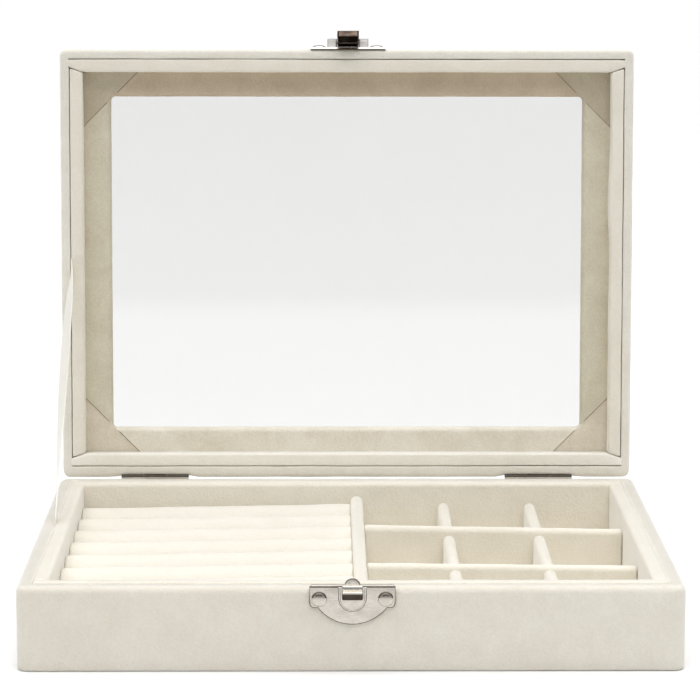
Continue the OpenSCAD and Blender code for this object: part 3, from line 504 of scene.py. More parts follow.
# From this height up the knuckle is painted dark: a painted shadow of the gap under the lid.
KNUCKLE_SHADOW_FROM, KNUCKLE_SHADOW_TO = 26.35, 26.5
KNUCKLE_PAINTED_SHADOW = (0.07, 0.06, 0.05, 1)


def hinge_steel():
    """Bright steel, with a painted shadow along the knuckle's top: a thin dark line where the lid's edge
    shades it.
    """
    mat = plated("hinge_steel", (0.80, 0.78, 0.74), (0.66, 0.64, 0.60), 0.3, 0.5)
    tree = mat.node_tree
    split = linked(tree, "ShaderNodeSeparateXYZ", [(0, object_place(tree))])
    high = ramp(tree, split.outputs["Z"], KNUCKLE_SHADOW_FROM * MM, KNUCKLE_SHADOW_TO * MM)
    group = next(n for n in tree.nodes if n.type == "GROUP")
    colour = mixed(tree, high, group.outputs["Color"], KNUCKLE_PAINTED_SHADOW)
    tree.links.new(colour, tree.nodes["Principled BSDF"].inputs["Base Color"])
    return mat


HINGE_STEEL = hinge_steel()

# %% [markdown]
# ## Glass and ribbon
# The pane is plain 2 mm glass, slightly grey. Light that only makes shadows is let straight
# through it, which real glass nearly does. The ribbon is satin: fine close ribs, a soft shine.

# %% Glass
def pane_glass():
    mat, tree, shader = surface("pane_glass", 0.02, Transmission_Weight=1.0, IOR=1.5)
    film = cloud(tree, object_place(tree), 30.0, 5.0)
    tint = mixed(tree, film, (0.825, 0.83, 0.82, 1), (0.845, 0.85, 0.84, 1))
    tree.links.new(tint, shader.inputs["Base Color"])
    clear = tree.nodes.new("ShaderNodeBsdfTransparent")
    clear.inputs["Color"].default_value = (0.88, 0.885, 0.88, 1)
    ray = tree.nodes.new("ShaderNodeLightPath")
    choose = tree.nodes.new("ShaderNodeMixShader")
    out = tree.nodes["Material Output"]
    tree.links.new(ray.outputs["Is Shadow Ray"], choose.inputs[0])
    tree.links.new(shader.outputs[0], choose.inputs[1])
    tree.links.new(clear.outputs[0], choose.inputs[2])
    tree.links.new(choose.outputs[0], out.inputs["Surface"])
    return mat


GLASS = pane_glass()

# %% Satin ribbon
def satin():
    mat, tree, shader = surface("satin_ribbon", 0.38, Sheen_Weight=0.3, Sheen_Roughness=0.3)
    links = [("Vector", object_place(tree)), ("Scale", 900.0), ("Distortion", 0.6)]
    ribs = linked(tree, "ShaderNodeTexWave", links, bands_direction="DIAGONAL").outputs["Fac"]
    colour = mixed(tree, ribs, (0.87, 0.84, 0.76, 1), (0.95, 0.93, 0.86, 1))
    tree.links.new(colour, shader.inputs["Base Color"])
    bump(tree, shader, ribs, 0.3, 0.03 * MM)
    return mat


SATIN = satin()


def wear(obj, mat, second=None):
    """Gives a piece or a node one material, and a piece's dark faces a second one."""
    if obj.material_slots:
        for slot in obj.material_slots:
            slot.material = mat
    else:
        obj.data.materials.append(mat)
    if second:
        obj.data.materials.append(second)
    return obj


# %% [markdown]
# ## Dress the hidden and rigid nodes
# Boards, cards, glass and hinges keep the construction's own shape. Only their finish is set here.

# %% Finishes for the construction's own nodes
CARD_FRAMES = ("window_border_board", "lid_top_frame_board", "glass_spacer_frame")
for name, obj in nodes.items():
    if name.endswith("_board") and name not in CARD_FRAMES:
        wear(obj, BOARD_MAT)
    elif "card" in name or name in CARD_FRAMES:
        wear(obj, CARD_MAT)
    elif name == "lid_glass":
        wear(obj, GLASS)
    elif name.startswith("hinge"):
        wear(obj, HINGE_STEEL)
    elif name == "hasp_pin":
        wear(obj, NICKEL)

# %% [markdown]
# ## The base's outer velvet
# One cloth is wrapped round the walls, over the rim and down inside, and turned under the foot.
# The rim is rounded by the cloth's own thickness. A seam is left where the lining meets it.

# %% Base cover
RIM_R, FOOT_R = 2.2, 1.0


def base_cover():
    rings = [(86, 61, 2.0, 0.0), (92.5, 67.5, 2.0, 0.0)]
    rings += [(x, x - 25, 3.5 - (100 - x), z) for x, z in arc(HALF_W - FOOT_R, FOOT_R, FOOT_R, -90, 0, 4)]
    rings += [(HALF_W, HALF_D, 3.5, z) for z in (4, 7, 10, 13, 16, 19, 21.5)]
    rings += [(x, x - 25, 3.5 - (100 - x), z) for x, z in arc(HALF_W - RIM_R, RIM - RIM_R, RIM_R, 0, 90, 8)]
    rings += [(x, x - 25, 0.6 * max(0, x - 95.9) / 2, z) for x, z in ((97.1, 26.02), (96.5, 26.0))]
    rings += [(x, x - 25, 0, z) for x, z in arc(SEAM_X + 0.8, RIM - 0.8, 0.8, 90, 180, 5)]
    rings += [(SEAM_X, SEAM_Y, 0, z) for z in (23, 18, 12, FLOOR + 0.02)]
    rings += [(SEAM_X + SKIN, SEAM_Y + SKIN, 0, z) for z in (FLOOR + 0.02, 15, 25.25)]
    rings += [(HALF_W - SKIN, HALF_D - SKIN, 2.6, z) for z in (25.22, 13, SKIN)]
    rings += [(86, 61, 2.0, SKIN)]
    bm = skin(rings)
    swell(bm, 0.09, 11, 1)
    return bm


base_velvet = piece("base_cover", base_cover(), "base", ["base_outer_velvet"])
wear(base_velvet, CREAM)
print("base cover:", len(base_velvet.data.vertices), "points")

# %% Underside cloth
def underside():
    bm = bmesh.new()
    for z in (0.0, 0.65):
        loop = [bm.verts.new(p) for p in ring(85.9, 60.9, 2.0, z, 20, 16, 4)]
        bm.faces.new(loop)
    a, b = list(bm.verts)[: len(bm.verts) // 2], list(bm.verts)[len(bm.verts) // 2:]
    for i in range(len(a)):
        j = (i + 1) % len(a)
        bm.faces.new((a[i], a[j], b[j], b[i]))
    return bm


under = piece("underside_cover", underside(), "base", ["base_underside_cover"])
wear(under, UNDER_MAT)

# %% [markdown]
# ## The linings
# Each lining strip is card with thin padding and velvet over it, glued upright inside the wall.
# Its top is crowned. The front and back strips run the full width and the side strips stand
# between them, so small dark gaps show where they meet.

# %% Base linings
def lining_outline(low, high, thick, crown, seam):
    return rounded([(0, low, 0.1), (thick, low, 0.4), (thick, high, crown), (0, high, seam)])


def base_lining(side, along):
    high = RIM + (0.2 if side < 0 and along == "x" else 0.0)
    outline = lining_outline(FLOOR + 0.05, high, PAD, 1.5, 0.6)

    def long_side(s, u, v):
        return Vector((s, side * (SEAM_Y - u), v))

    def short_side(s, u, v):
        return Vector((side * (SEAM_X - u), s, v))

    if along == "x":
        return bar(outline, -SEAM_X + 0.1, SEAM_X - 0.1, long_side, end=0.5, step=3)
    reach = TRAY_Y - 0.1
    return bar(outline, -reach, reach, short_side, end=0.7, step=3)


FOUR_SIDES = (("front", -1, "x"), ("back", 1, "x"), ("left", -1, "y"), ("right", 1, "y"))
for seed, (name, side, along) in enumerate(FOUR_SIDES):
    bm = base_lining(side, along)
    swell(bm, 0.10, 14, 10 + seed)
    strip = piece("base_lining_pad_" + name, bm, "base", ["base_lining_" + name])
    wear(strip, PALE)
print("lining strips done, tray half width", round(TRAY_X, 2))

# %% [markdown]
# ## The ring rolls
# Foam rods in a plush sleeve lie side by side, close enough to pinch a ring between them. They
# have rounded ends, sit a little lower at the left, and no two are quite straight.

# %% Ring rolls
ROLLS, TRAY_RIGHT, ROLL_R = 8, 1.1, 8.15
PITCH = 2 * TRAY_Y / ROLLS
TOP_LEFT, TOP_RIGHT = -7.1, -5.6


def roll_bar(i, inside, end):
    """Roll i, or what lies this far inside its sleeve."""
    y0 = TRAY_Y - (i - 0.5) * PITCH + (0.25 if i == 4 else -0.15 if i == 5 else 0)
    circle = arc(0, 0, ROLL_R - inside, 0, 360 - 360 / 40, 39)

    def place(s, u, v):
        t = (s + TRAY_X) / (TRAY_X + TRAY_RIGHT)
        drop = RIM + TOP_LEFT + (TOP_RIGHT - TOP_LEFT) * t - ROLL_R
        wave = 0.12 * math.sin(s / 17 + i * 1.9)
        low = max(v + drop, FLOOR + 1.0 + inside)
        return Vector((s, y0 + u + wave, low))

    return bar(circle, -TRAY_X + 0.05 + inside, TRAY_RIGHT + 0.15 - inside, place, end=end, step=2.5)


for i in range(1, ROLLS + 1):
    bm = roll_bar(i, 0.05, 0.9)
    swell(bm, 0.16, 12, 20 + i)
    roll = piece(f"ring_roll_plush_{i}", bm, "base", [f"ring_roll_{i}"])
    wear(roll, IVORY)
print("ring rolls:", ROLLS, "at a pitch of", round(PITCH, 2), "mm")

# %% Foam cores inside the sleeves
foam = piece("roll_foam_core", joined(*(roll_bar(i, 0.95, 0.4) for i in range(1, ROLLS + 1))),
             "base", ["ring_roll_foam_cores"])
wear(foam, FOAM_MAT)

# %% [markdown]
# ## The dividers
# A card in a velvet sleeve with a round top. The cross dividers run over the others: each pair is
# half-lapped, one slotted from below and one from above. The long dividers stand lower, so from
# the front they seem to start behind each cross divider with a round shoulder.

# %% Divider beside the rolls
MAIN_T, GRID_T = 4.3, 3.8


def divider_outline(thick, low, high):
    h = thick / 2
    return [(h, low)] + arc(0, high - h, h, 0, 180, 12) + [(-h, low)]


def main_divider():
    outline = divider_outline(MAIN_T - 0.1, FLOOR + 0.05, RIM - 3.9)
    x = TRAY_RIGHT + MAIN_T / 2

    def place(s, u, v):
        near = max(0, 1 - (TRAY_Y - abs(s)) / 4)
        drop = 1.1 * near * near * max(0, (v - 16) / 6)
        return Vector((x + u, s, v - drop))

    return bar(outline, -TRAY_Y + 0.1, TRAY_Y - 0.1, place, end=0.8, step=2)


bm = main_divider()
swell(bm, 0.10, 12, 31)
sleeve = piece("main_divider_sleeve", bm, "base", ["main_divider"])
wear(sleeve, PALE)

# %% Compartment dividers
CELL_L, CELL_R = TRAY_RIGHT + MAIN_T, TRAY_X
CELL_W = (CELL_R - CELL_L - 2 * GRID_T) / 3
CELL_D = (2 * TRAY_Y - 2 * GRID_T) / 3
LONG_X = [CELL_L + i * CELL_W + (i - 0.5) * GRID_T for i in (1, 2)]
CROSS_Y = [-TRAY_Y + i * CELL_D + (i - 0.5) * GRID_T for i in (1, 2)]
CELL_FLOOR = FLOOR + 1.3


def cross_divider(y, top_left, top_right):
    outline = divider_outline(GRID_T - 0.1, CELL_FLOOR + 0.05, 20)

    def place(s, u, v):
        t = (s - CELL_L) / (CELL_R - CELL_L)
        lift = (RIM + top_left + (top_right - top_left) * t - 20) * max(0, (v - 8) / 12)
        return Vector((s, y + u, v + lift))

    return bar(outline, CELL_L + 0.1, CELL_R - 0.1, place, end=0.8, step=2)


def long_divider(x, s0, s1, round_front, round_back):
    """One stretch of a long divider between two cross dividers."""
    outline = divider_outline(GRID_T - 0.1, CELL_FLOOR + 0.05, RIM - 6.9)

    def place(s, u, v):
        shoulder = 0
        if round_front:
            shoulder = max(shoulder, 1 - (s - s0) / 3.5)
        if round_back:
            shoulder = max(shoulder, 1 - (s1 - s) / 3.5)
        drop = 1.6 * shoulder * shoulder * max(0, (v - 13) / 6)
        return Vector((x + u, s, v - drop))

    return bar(outline, s0, s1, place, end=0.9, step=1.5)


CROSS = (("rear", CROSS_Y[1], -4.4, -6.0, 41), ("front", CROSS_Y[0], -5.9, -6.9, 42))
for name, y, top_left, top_right, seed in CROSS:
    bm = cross_divider(y, top_left, top_right)
    swell(bm, 0.10, 10, seed)
    sleeve = piece("cross_divider_sleeve_" + name, bm, "base", ["cross_divider_" + name])
    wear(sleeve, PALE)

for k, name in enumerate(("left", "right")):
    gap = GRID_T / 2 + 0.1
    cuts = [-TRAY_Y + 0.1, CROSS_Y[0] - gap, CROSS_Y[0] + gap]
    cuts += [CROSS_Y[1] - gap, CROSS_Y[1] + gap, TRAY_Y - 0.1]
    parts = []
    for j in range(3):
        parts.append(long_divider(LONG_X[k], cuts[2 * j], cuts[2 * j + 1], True, j < 2))
        swell(parts[-1], 0.10, 10, 50 + 3 * k + j)
    sleeve = piece("long_divider_sleeve_" + name, joined(*parts), "base",
                   ["long_divider_" + name])
    wear(sleeve, PALE)
print("compartments", round(CELL_W, 1), "x", round(CELL_D, 1), "mm")

# %% Compartment floor
def floor_pad():
    bm = bmesh.new()
    nx, ny = 34, 50
    x0, x1, y0, y1 = CELL_L + 0.1, CELL_R - 0.1, -TRAY_Y + 0.1, TRAY_Y - 0.1
    top = []
    for i in range(nx + 1):
        x = x0 + (x1 - x0) * i / nx
        line = [Vector((x, y0 + (y1 - y0) * j / ny, CELL_FLOOR - 0.1)) * MM for j in range(ny + 1)]
        top.append([bm.verts.new(p) for p in line])
    low = [[bm.verts.new(v.co - Vector((0, 0, 1.15 * MM))) for v in row] for row in top]
    for i in range(nx):
        for j in range(ny):
            bm.faces.new((top[i][j], top[i + 1][j], top[i + 1][j + 1], top[i][j + 1]))
            bm.faces.new((low[i][j], low[i][j + 1], low[i + 1][j + 1], low[i + 1][j]))
    for i in range(nx):
        bm.faces.new((top[i][0], low[i][0], low[i + 1][0], top[i + 1][0]))
        bm.faces.new((top[i][ny], top[i + 1][ny], low[i + 1][ny], low[i][ny]))
    for j in range(ny):
        bm.faces.new((top[0][j], top[0][j + 1], low[0][j + 1], low[0][j]))
        bm.faces.new((top[nx][j], low[nx][j], low[nx][j + 1], top[nx][j + 1]))
    for row in top:
        for v in row:
            v.co.z += 0.12 * MM * noise.noise(v.co / (9 * MM))
    return bm


cloth = piece("compartment_floor_cloth", floor_pad(), "base", ["compartment_floor_pad"])
wear(cloth, PALE)

# %% [markdown]
# ## The lid's outer velvet
# The lid is drawn shut and turned open at the end, as its boards are. The cloth covers the top
# frame, the sides and the rim, and turns round the window's edge down to the glass.

# %% Lid cover
LID_RIM_R, LID_TURN_R, LID_TOP_R, WIN_EDGE_R = 1.3, 0.45, 1.2, 0.9
BACK_FROM = 71.2


def lid_cover():
    d = LID_W - LID_D
    seam = LID_SEAM_X + LID_LINE
    rings = [(seam, seam - d, 0, z) for z in (34.4, 30, 27.2)]
    inner = arc(seam + LID_TURN_R, LID_RIM + LID_TURN_R, LID_TURN_R, 180, 270, 4)
    outer = arc(LID_W - LID_RIM_R, LID_RIM + LID_RIM_R, LID_RIM_R, -90, 0, 6)
    top = arc(LID_W - LID_TOP_R, LID_TOP - LID_TOP_R, LID_TOP_R, 0, 90, 6)
    rings += [(x, x - d, 0, z) for x, z in inner]
    rings += [(96.8, 71.8, 0.4, LID_RIM - 0.02)]
    rings += [(x, x - d, 2.2 - (LID_W - x), z) for x, z in outer]
    rings += [(LID_W, LID_D, 2.2, z) for z in (30, 33, 36)]
    rings += [(x, x - d, 2.2 - (LID_W - x), z) for x, z in top]
    rings += [(94, 69, 2.4, LID_TOP), (90, 65, 3.0, LID_TOP), (86, 61.4, 3.6, LID_TOP)]
    edge = arc(WIN_EDGE_R, LID_TOP - WIN_EDGE_R, WIN_EDGE_R, 90, 180, 5)
    wx, wy = WIN_X + WIN_OUT, WIN_Y + WIN_OUT_Y
    rings += [(wx + e, wy + e, WIN_R + WIN_OUT + e, z) for e, z in edge]
    rings += [(wx, wy, WIN_R + WIN_OUT, z) for z in (37.8, GLASS_OUT + 0.03)]
    rings += [(wx + 0.2, wy + 0.2, WIN_R + WIN_OUT + 0.2, z) for z in (GLASS_OUT + 0.03, 39.25)]
    rings += [(LID_W - SKIN, LID_D - SKIN, 1.5, z) for z in (39.25, 27.05)]
    rings += [(LID_SEAM_X + SKIN, LID_SEAM_Y + SKIN, 0, z) for z in (27.05, 34.4)]
    bm = skin(rings)
    for v in bm.verts:
        far = max(0, min(1, (v.co.y / MM - BACK_FROM) / (LID_D - BACK_FROM)))
        beside = max(0, min(1, abs(abs(v.co.x / MM) - HINGE_X) - HINGE_HALF))
        v.co.y += far * (0.1 + 0.6 * beside) * MM
    swell(bm, 0.08, 11, 2)
    return bm


lid_velvet = piece("lid_cover", lid_cover(), "lid", ["lid_outer_velvet"], lid=True)
# The lid's cover wears the cream painted lighter, as painted light.
wear(lid_velvet, LID_CREAM_PAINTED_LIT)

# %% Lid linings
SEAM_GAP, CORNER_PULL = 0.25, 1.5


def lid_lining(side, along):
    low, high = LID_RIM + 0.03, BORDER - 0.02
    near = SEAM_GAP - LID_LINE
    outline = rounded([(near, low, 0.45), (LID_PAD, low, 0.9), (LID_PAD, high, 0.3), (near, high, 0.1)])

    def slack(s):
        """The right strip came a little loose from its wall in the upper half."""
        t = (s + 22) / 42
        return 0.45 * math.exp(-t * t * 3) * math.cos(t * 5) if along == "y" and side > 0 else 0

    def long_side(s, u, v):
        thin = max(0, 1 - (LID_SEAM_X - abs(s)) / LID_PAD) * CORNER_PULL / LID_PAD
        return Vector((s, side * (LID_SEAM_Y - u * (1 - thin)), v))

    def short_side(s, u, v):
        longer = (CORNER_PULL + 0.7) * (1 - u / LID_PAD) * (abs(s) / LID_SEAM_Y) ** 8
        y = s + math.copysign(longer, s)
        return Vector((side * (LID_SEAM_X - u - slack(s) * u / LID_PAD), y, v))

    if along == "x":
        reach = LID_SEAM_X + LID_LINE + 0.3
        return bar(outline, -reach, reach, long_side, end=0.15, step=2)
    reach = LID_SEAM_Y - LID_PAD - 0.1
    return bar(outline, -reach, reach, short_side, end=0.6, step=2.5)


for seed, (name, side, along) in enumerate(FOUR_SIDES):
    bm = lid_lining(side, along)
    swell(bm, 0.09, 12, 60 + seed)
    # The back strip wears the pale cloth painted lighter, as painted light.
    cloth = PALE_PAINTED_LIT if name == "back" else PALE
    strip = piece("lid_lining_pad_" + name, bm, "lid", ["lid_lining_" + name], lid=True)
    wear(strip, cloth)

# %% [markdown]
# ## The border round the window
# A flat card frame holds the glass from inside. Its corners are covered first with small patches,
# then a velvet strip is laid along each side, with its ends cut at 45 degrees over the patches.
# Shade and light are painted into them: the strip and the patches at the top darker, as the
# shadow under the lining, and those at the bottom lighter, with the side strips a little shaded. The strips'
# cut ends are dark, their bare backing painted darker as the shade in the seam, which draws the
# slanting lines in the corners.

# %% Corner patches
PATCH_SUM = 138.3
IN_X, IN_Y = LID_SEAM_X - 0.1, LID_SEAM_Y - 0.1


def corner_patches():
    edge = arc(1.0, BORDER + 0.2 + 1.0, 1.0, 270, 180, 5)
    rings = [(IN_X, IN_Y, 0, BORDER + 0.2), (86, 61.6, 4.0, BORDER + 0.2)]
    rings += [(WIN_X + 0.15 + e, WIN_Y + 0.15 + e, WIN_R + 0.15 + e, z) for e, z in edge]
    rings += [(WIN_X + 0.15, WIN_Y + 0.15, WIN_R + 0.15, GLASS_IN - 0.03)]
    rings += [(WIN_X + 0.6, WIN_Y + 0.6, WIN_R + 0.6, z) for z in (GLASS_IN - 0.3, BORDER + 0.6)]
    bm = skin(rings + [(IN_X, IN_Y, 0, BORDER + 0.6)], nc=8)
    # Patches at the front of the shut lid, the top when open, take the painted shadow. Those at the back take
    # the painted light.
    for face in bm.faces:
        face.material_index = 1 if face.calc_center_median().y > 0 else 0
    return bm


patches = piece("corner_patch_cloth", corner_patches(), "lid",
                ["window_corner_patches"], lid=True)
wear(patches, PATCH_TOP_SHADOW, PATCH_BOTTOM_LIGHT)

# %% Border strips
def border_outline(outer):
    """Distance from the lid's middle and height, round the window's edge and back."""
    near = WIN_Y if outer == IN_Y else WIN_X
    face = BORDER - 0.12
    front = [(outer, face)] + [(outer + (near + 1.2 - outer) * i / 5, face) for i in range(1, 5)]
    front += [(near + e, z) for e, z in arc(1.6, face + 1.6, 1.6, 270, 180, 6)]
    back = [(near, GLASS_IN - 0.04), (near + 1.3, GLASS_IN - 0.04), (near + 1.3, face + 1.6)]
    return front + back + [(near + 1.6, face + 0.5), (outer, face + 0.5)]


def border_strip(side, along):
    outer = IN_Y if along == "x" else IN_X

    def place(s, u, v):
        reach = PATCH_SUM - u + 1.2 * min(0.5, max(0, v - BORDER + 0.12))
        return Vector((s * reach, side * u, v)) if along == "x" else Vector((side * u, s * reach, v))

    return bar(border_outline(outer), -1, 1, place, end=0, step=0.03, cut=1)


# The front strip, at the top of the open lid, wears the painted shadow. The back strip, at the bottom, wears
# the painted light, and the side strips the painted shade.
STRIPS = (("front", "x", -1, "long", BORDER_TOP_SHADOW), ("back", "x", 1, "long", BORDER_BOTTOM_LIGHT),
          ("left", "y", -1, "short", BORDER_SIDE_SHADE), ("right", "y", 1, "short", BORDER_SIDE_SHADE))
for name, along, side, kind, cloth in STRIPS:
    bm = border_strip(side, along)
    swell(bm, 0.06, 9, 70 + side)
    strip = piece("border_strip_" + name, bm, "lid",
                  [f"window_border_{kind}_strips"], lid=True)
    # The cut ends wear the bare backing with its painted shade.
    wear(strip, cloth, CUT_EDGE_AND_SHADE)
print("window", round(2 * WIN_X, 1), "x", round(2 * WIN_Y, 1), "mm")

# %% [markdown]
# ## The catch
# The plate on the base is stamped: two ears with round heads of nails, a wide round belly, and a
# raised U in the middle with a hooked nose. Its top edge is turned over the rim a little, and a
# round tongue stands up behind the nose to guide the lid.

# %% Stamped plate
CATCH_X = 0.3
NAIL_X, NAIL_Z = 9.9, RIM - 3.5


def plate_outline(width, ear, height, lobe, steps=8):
    """Outline of a stamped plate that hangs from z 0, counter-clockwise from its top left."""
    half = width / 2
    bx = NAIL_X + 0.4
    drop = height - ear
    r = (bx * bx + drop * drop) / (2 * drop)
    belly_end = math.degrees(math.asin(bx / r))
    left = [(-half, 0), (-half, -ear + lobe)] + arc(-half + lobe, -ear + lobe, lobe, 180, 262, steps)
    belly = arc(0, -height + r, r, 270 - belly_end, 270 + belly_end, 24)
    mirror = [(-x, z) for x, z in reversed(left)]
    return left + belly + mirror


def stamped(outline, thick, soft, face_y, z0, flip=1, dark_below=0.1):
    """A plate with a softened front edge, standing on a face that looks to the front. Its edge
    takes the piece's second material, painted dark as bare metal and shade, except above the height
    dark_below."""
    bm = bmesh.new()
    pts = [Vector(p) for p in outline]
    n = len(pts)
    norm = []
    for i in range(n):
        t = (pts[(i + 1) % n] - pts[i - 1]).normalized()
        norm.append(Vector((t.y, -t.x)))
    rows = []
    layers = [(0.0, 0.0)]
    for a in [math.radians(90 * k / 4) for k in range(5)]:
        layers.append((thick - soft + soft * math.sin(a), soft * (1 - math.cos(a))))
    for out, inset in layers:
        row = []
        for p, away in zip(pts, norm):
            x = CATCH_X + p.x - away.x * inset
            z = z0 + flip * (p.y - away.y * inset)
            row.append(bm.verts.new(Vector((x, face_y - out, z)) * MM))
        rows.append(row)
    for a, b in zip(rows, rows[1:]):
        for i in range(n):
            j = (i + 1) % n
            low = min(pts[i].y, pts[j].y) < dark_below
            bm.faces.new((a[i], a[j], b[j], b[i])).material_index = 1 if low else 0
    bm.faces.new(rows[0][::-1])
    bm.faces.new(rows[-1])
    bmesh.ops.triangulate(bm, faces=[f for f in bm.faces if len(f.verts) > 4])
    return bm


PLATE_W, PLATE_UP = 25.6, 0.35


def lip():
    """The plate's top edge, turned back over the rim."""
    front, top = -HALF_D - 0.55, RIM + PLATE_UP + 0.25
    section = arc(front, top, 0.27, 90, 270, 6) + [(-HALF_D + 0.1, top - 0.27), (-HALF_D + 0.1, top + 0.27)]
    return bar(section, CATCH_X - PLATE_W / 2 + 0.4, CATCH_X + PLATE_W / 2 - 0.4, along_x, end=0.15, step=3)


def tongue():
    outline = [(-2.4, -1.2), (2.4, -1.2)] + arc(0, 0.35, 2.4, 0, 180, 12)
    return stamped(outline, 0.6, 0.25, -HALF_D + 0.02, RIM, dark_below=9)


def catch_plate():
    outline = [(x, z + PLATE_UP) if z == 0 else (x, z) for x, z in plate_outline(PLATE_W, 6.2, 11.3, 1.4)]
    return joined(stamped(outline, 0.8, 0.3, -HALF_D, RIM, dark_below=9), lip(), tongue())


plate = piece("stamped_catch_plate", catch_plate(), "base", ["catch_plate"], shade=35)
wear(plate, NICKEL, EDGE_METAL_AND_SHADE)

# %% Raised U with the hooked nose
def u_outline(inset):
    """A U as deep as the pad, this far inside its edge."""
    r = PAD_HALF - inset
    return [(-r, PLATE_UP)] + arc(0, PAD_HALF - PAD_DEEP, r, 180, 360, 20) + [(r, PLATE_UP)]


PAD_HALF, PAD_DEEP, NOSE_HALF = 4.2, 7.2, 3.1


def nose():
    pad = stamped(u_outline(0), 0.7, 0.2, -HALF_D - 0.8, RIM, dark_below=0)
    dish = stamped(u_outline(0.55), 0.3, 0.1, -HALF_D - 1.42, RIM, dark_below=0)
    shoulder = arc(-0.5, 0.4, 0.5, 20, 180, 6) + [(-1.05, -0.1), (-2.2, -0.45)]
    lip_band = arc(-2.45, -0.9, 0.42, 110, 200, 5)
    under = [(-2.4, -1.6), (-1.6, -2.0), (-0.9, -2.5), (-0.5, -3.0)]
    under += [(-0.15, -3.7), (0.3, -4.0), (0.3, 0.4)]
    hook = shoulder + lip_band + under
    # The hook's underside faces get the painted shade.
    shade = range(len(shoulder) + len(lip_band) - 1, len(hook) - 3)
    face = -HALF_D - 1.5
    outline = [(face + u, RIM + v) for u, v in hook]
    band = bar(outline, CATCH_X - NOSE_HALF, CATCH_X + NOSE_HALF, along_x, end=0.3, step=0.5, dark=shade)
    return joined(pad, dish, band)


hook = piece("hooked_nose", nose(), "base", ["catch_nose"], shade=35)
wear(hook, NICKEL, HOOK_PAINTED_SHADE)

# %% Nails with domed heads
def dome(x, face_y, z, d, h, top=1):
    """A domed nail head on a face that looks to the front. When top is set, a dark arc is painted along its
    top edge: a painted reflection and shade.
    """
    bm = bmesh.new()
    rings = [(d / 2, -0.15)]
    for a in [math.radians(90 * k / 8) for k in range(8)]:
        rings.append((d / 2 * math.cos(a), h * math.sin(a)))
    turns = [2 * math.pi * k / 28 for k in range(28)]
    rows = []
    for r, out in rings:
        row = [Vector((x + r * math.cos(t), face_y - out, z + r * math.sin(t))) * MM for t in turns]
        rows.append([bm.verts.new(p) for p in row])
    tip = bm.verts.new(Vector((x, face_y - h, z)) * MM)
    for k, (a, b) in enumerate(zip(rows, rows[1:])):
        for i in range(28):
            face = bm.faces.new((a[i], a[(i + 1) % 28], b[(i + 1) % 28], b[i]))
            wide = 6 if k < 4 else 3
            face.material_index = 1 if k in (1, 2, 3, 5) and top and abs(i - 6.5) < wide else 0
    for i in range(28):
        bm.faces.new((rows[-1][i], rows[-1][(i + 1) % 28], tip))
    bm.faces.new(rows[0][::-1])
    return bm


# The catch's nail heads get the painted dark arc at their tops.
heads = [dome(CATCH_X + s * NAIL_X, -HALF_D - 0.8, NAIL_Z, 4.7, 0.85) for s in (-1, 1)]
heads = piece("catch_nail_heads", joined(*heads), "base", ["catch_nails"])
wear(heads, NICKEL, EDGE_METAL_AND_SHADE)

# %% [markdown]
# ## The hasp on the lid
# A second stamped plate carries two curled knuckles, and a small box-shaped hasp swings on a pin
# between them. With the lid open it is seen end on: a dark hollow over the bright plate.

# %% Hasp plate
HASP_Z, HASP_Y = LID_RIM + 6.5, -LID_D - 0.8 - 1.5


def knuckles():
    parts = []
    outline = arc(0, 0, 1.5, 90, 205, 12) + [(1.5, -1.84), (1.5, 1.5)]
    for s0, s1 in ((-7.05, -3.8), (3.8, 7.05)):
        section = [(HASP_Y + u, HASP_Z + v) for u, v in outline]
        parts.append(bar(section, CATCH_X + s0, CATCH_X + s1, along_x, end=0.25, step=0.6))
    return parts


def hasp_bead():
    """The plate's straight edge, bevelled and bright, with its bare underside painted dark as the shadow of
    the gap below it.
    """
    y, z = -LID_D, LID_RIM - 0.05
    section = [(y - 0.02, z), (y - 0.27, z), (y - 0.85, z + 0.5), (y - 0.85, z + 0.8), (y - 0.02, z + 0.8)]
    reach = PLATE_W / 2 + 0.1
    return bar(section, CATCH_X - reach, CATCH_X + reach, along_x, end=0.1, step=3, dark=(0,))


flat = stamped(plate_outline(PLATE_W, 6.2, 10.4, 1.4), 0.8, 0.3, -LID_D, LID_RIM + 0.3,
               flip=-1, dark_below=9)
hasp_plate = joined(flat, hasp_bead())
curls = piece("hasp_knuckles", joined(*knuckles()), "lid", ["hasp_plate"],
              lid=True, shade=35)
wear(curls, DULL_NICKEL)
plate = piece("stamped_hasp_plate", hasp_plate, "lid", ["hasp_plate"],
              lid=True, shade=35)
wear(plate, NICKEL, EDGE_METAL_AND_SHADE)
heads = [dome(CATCH_X + s * NAIL_X, -LID_D - 0.8, LID_RIM + 3.4, 4.6, 0.75, top=0) for s in (-1, 1)]
heads = piece("hasp_nail_heads", joined(*heads), "lid", ["hasp_nails"], lid=True)
wear(heads, NICKEL)

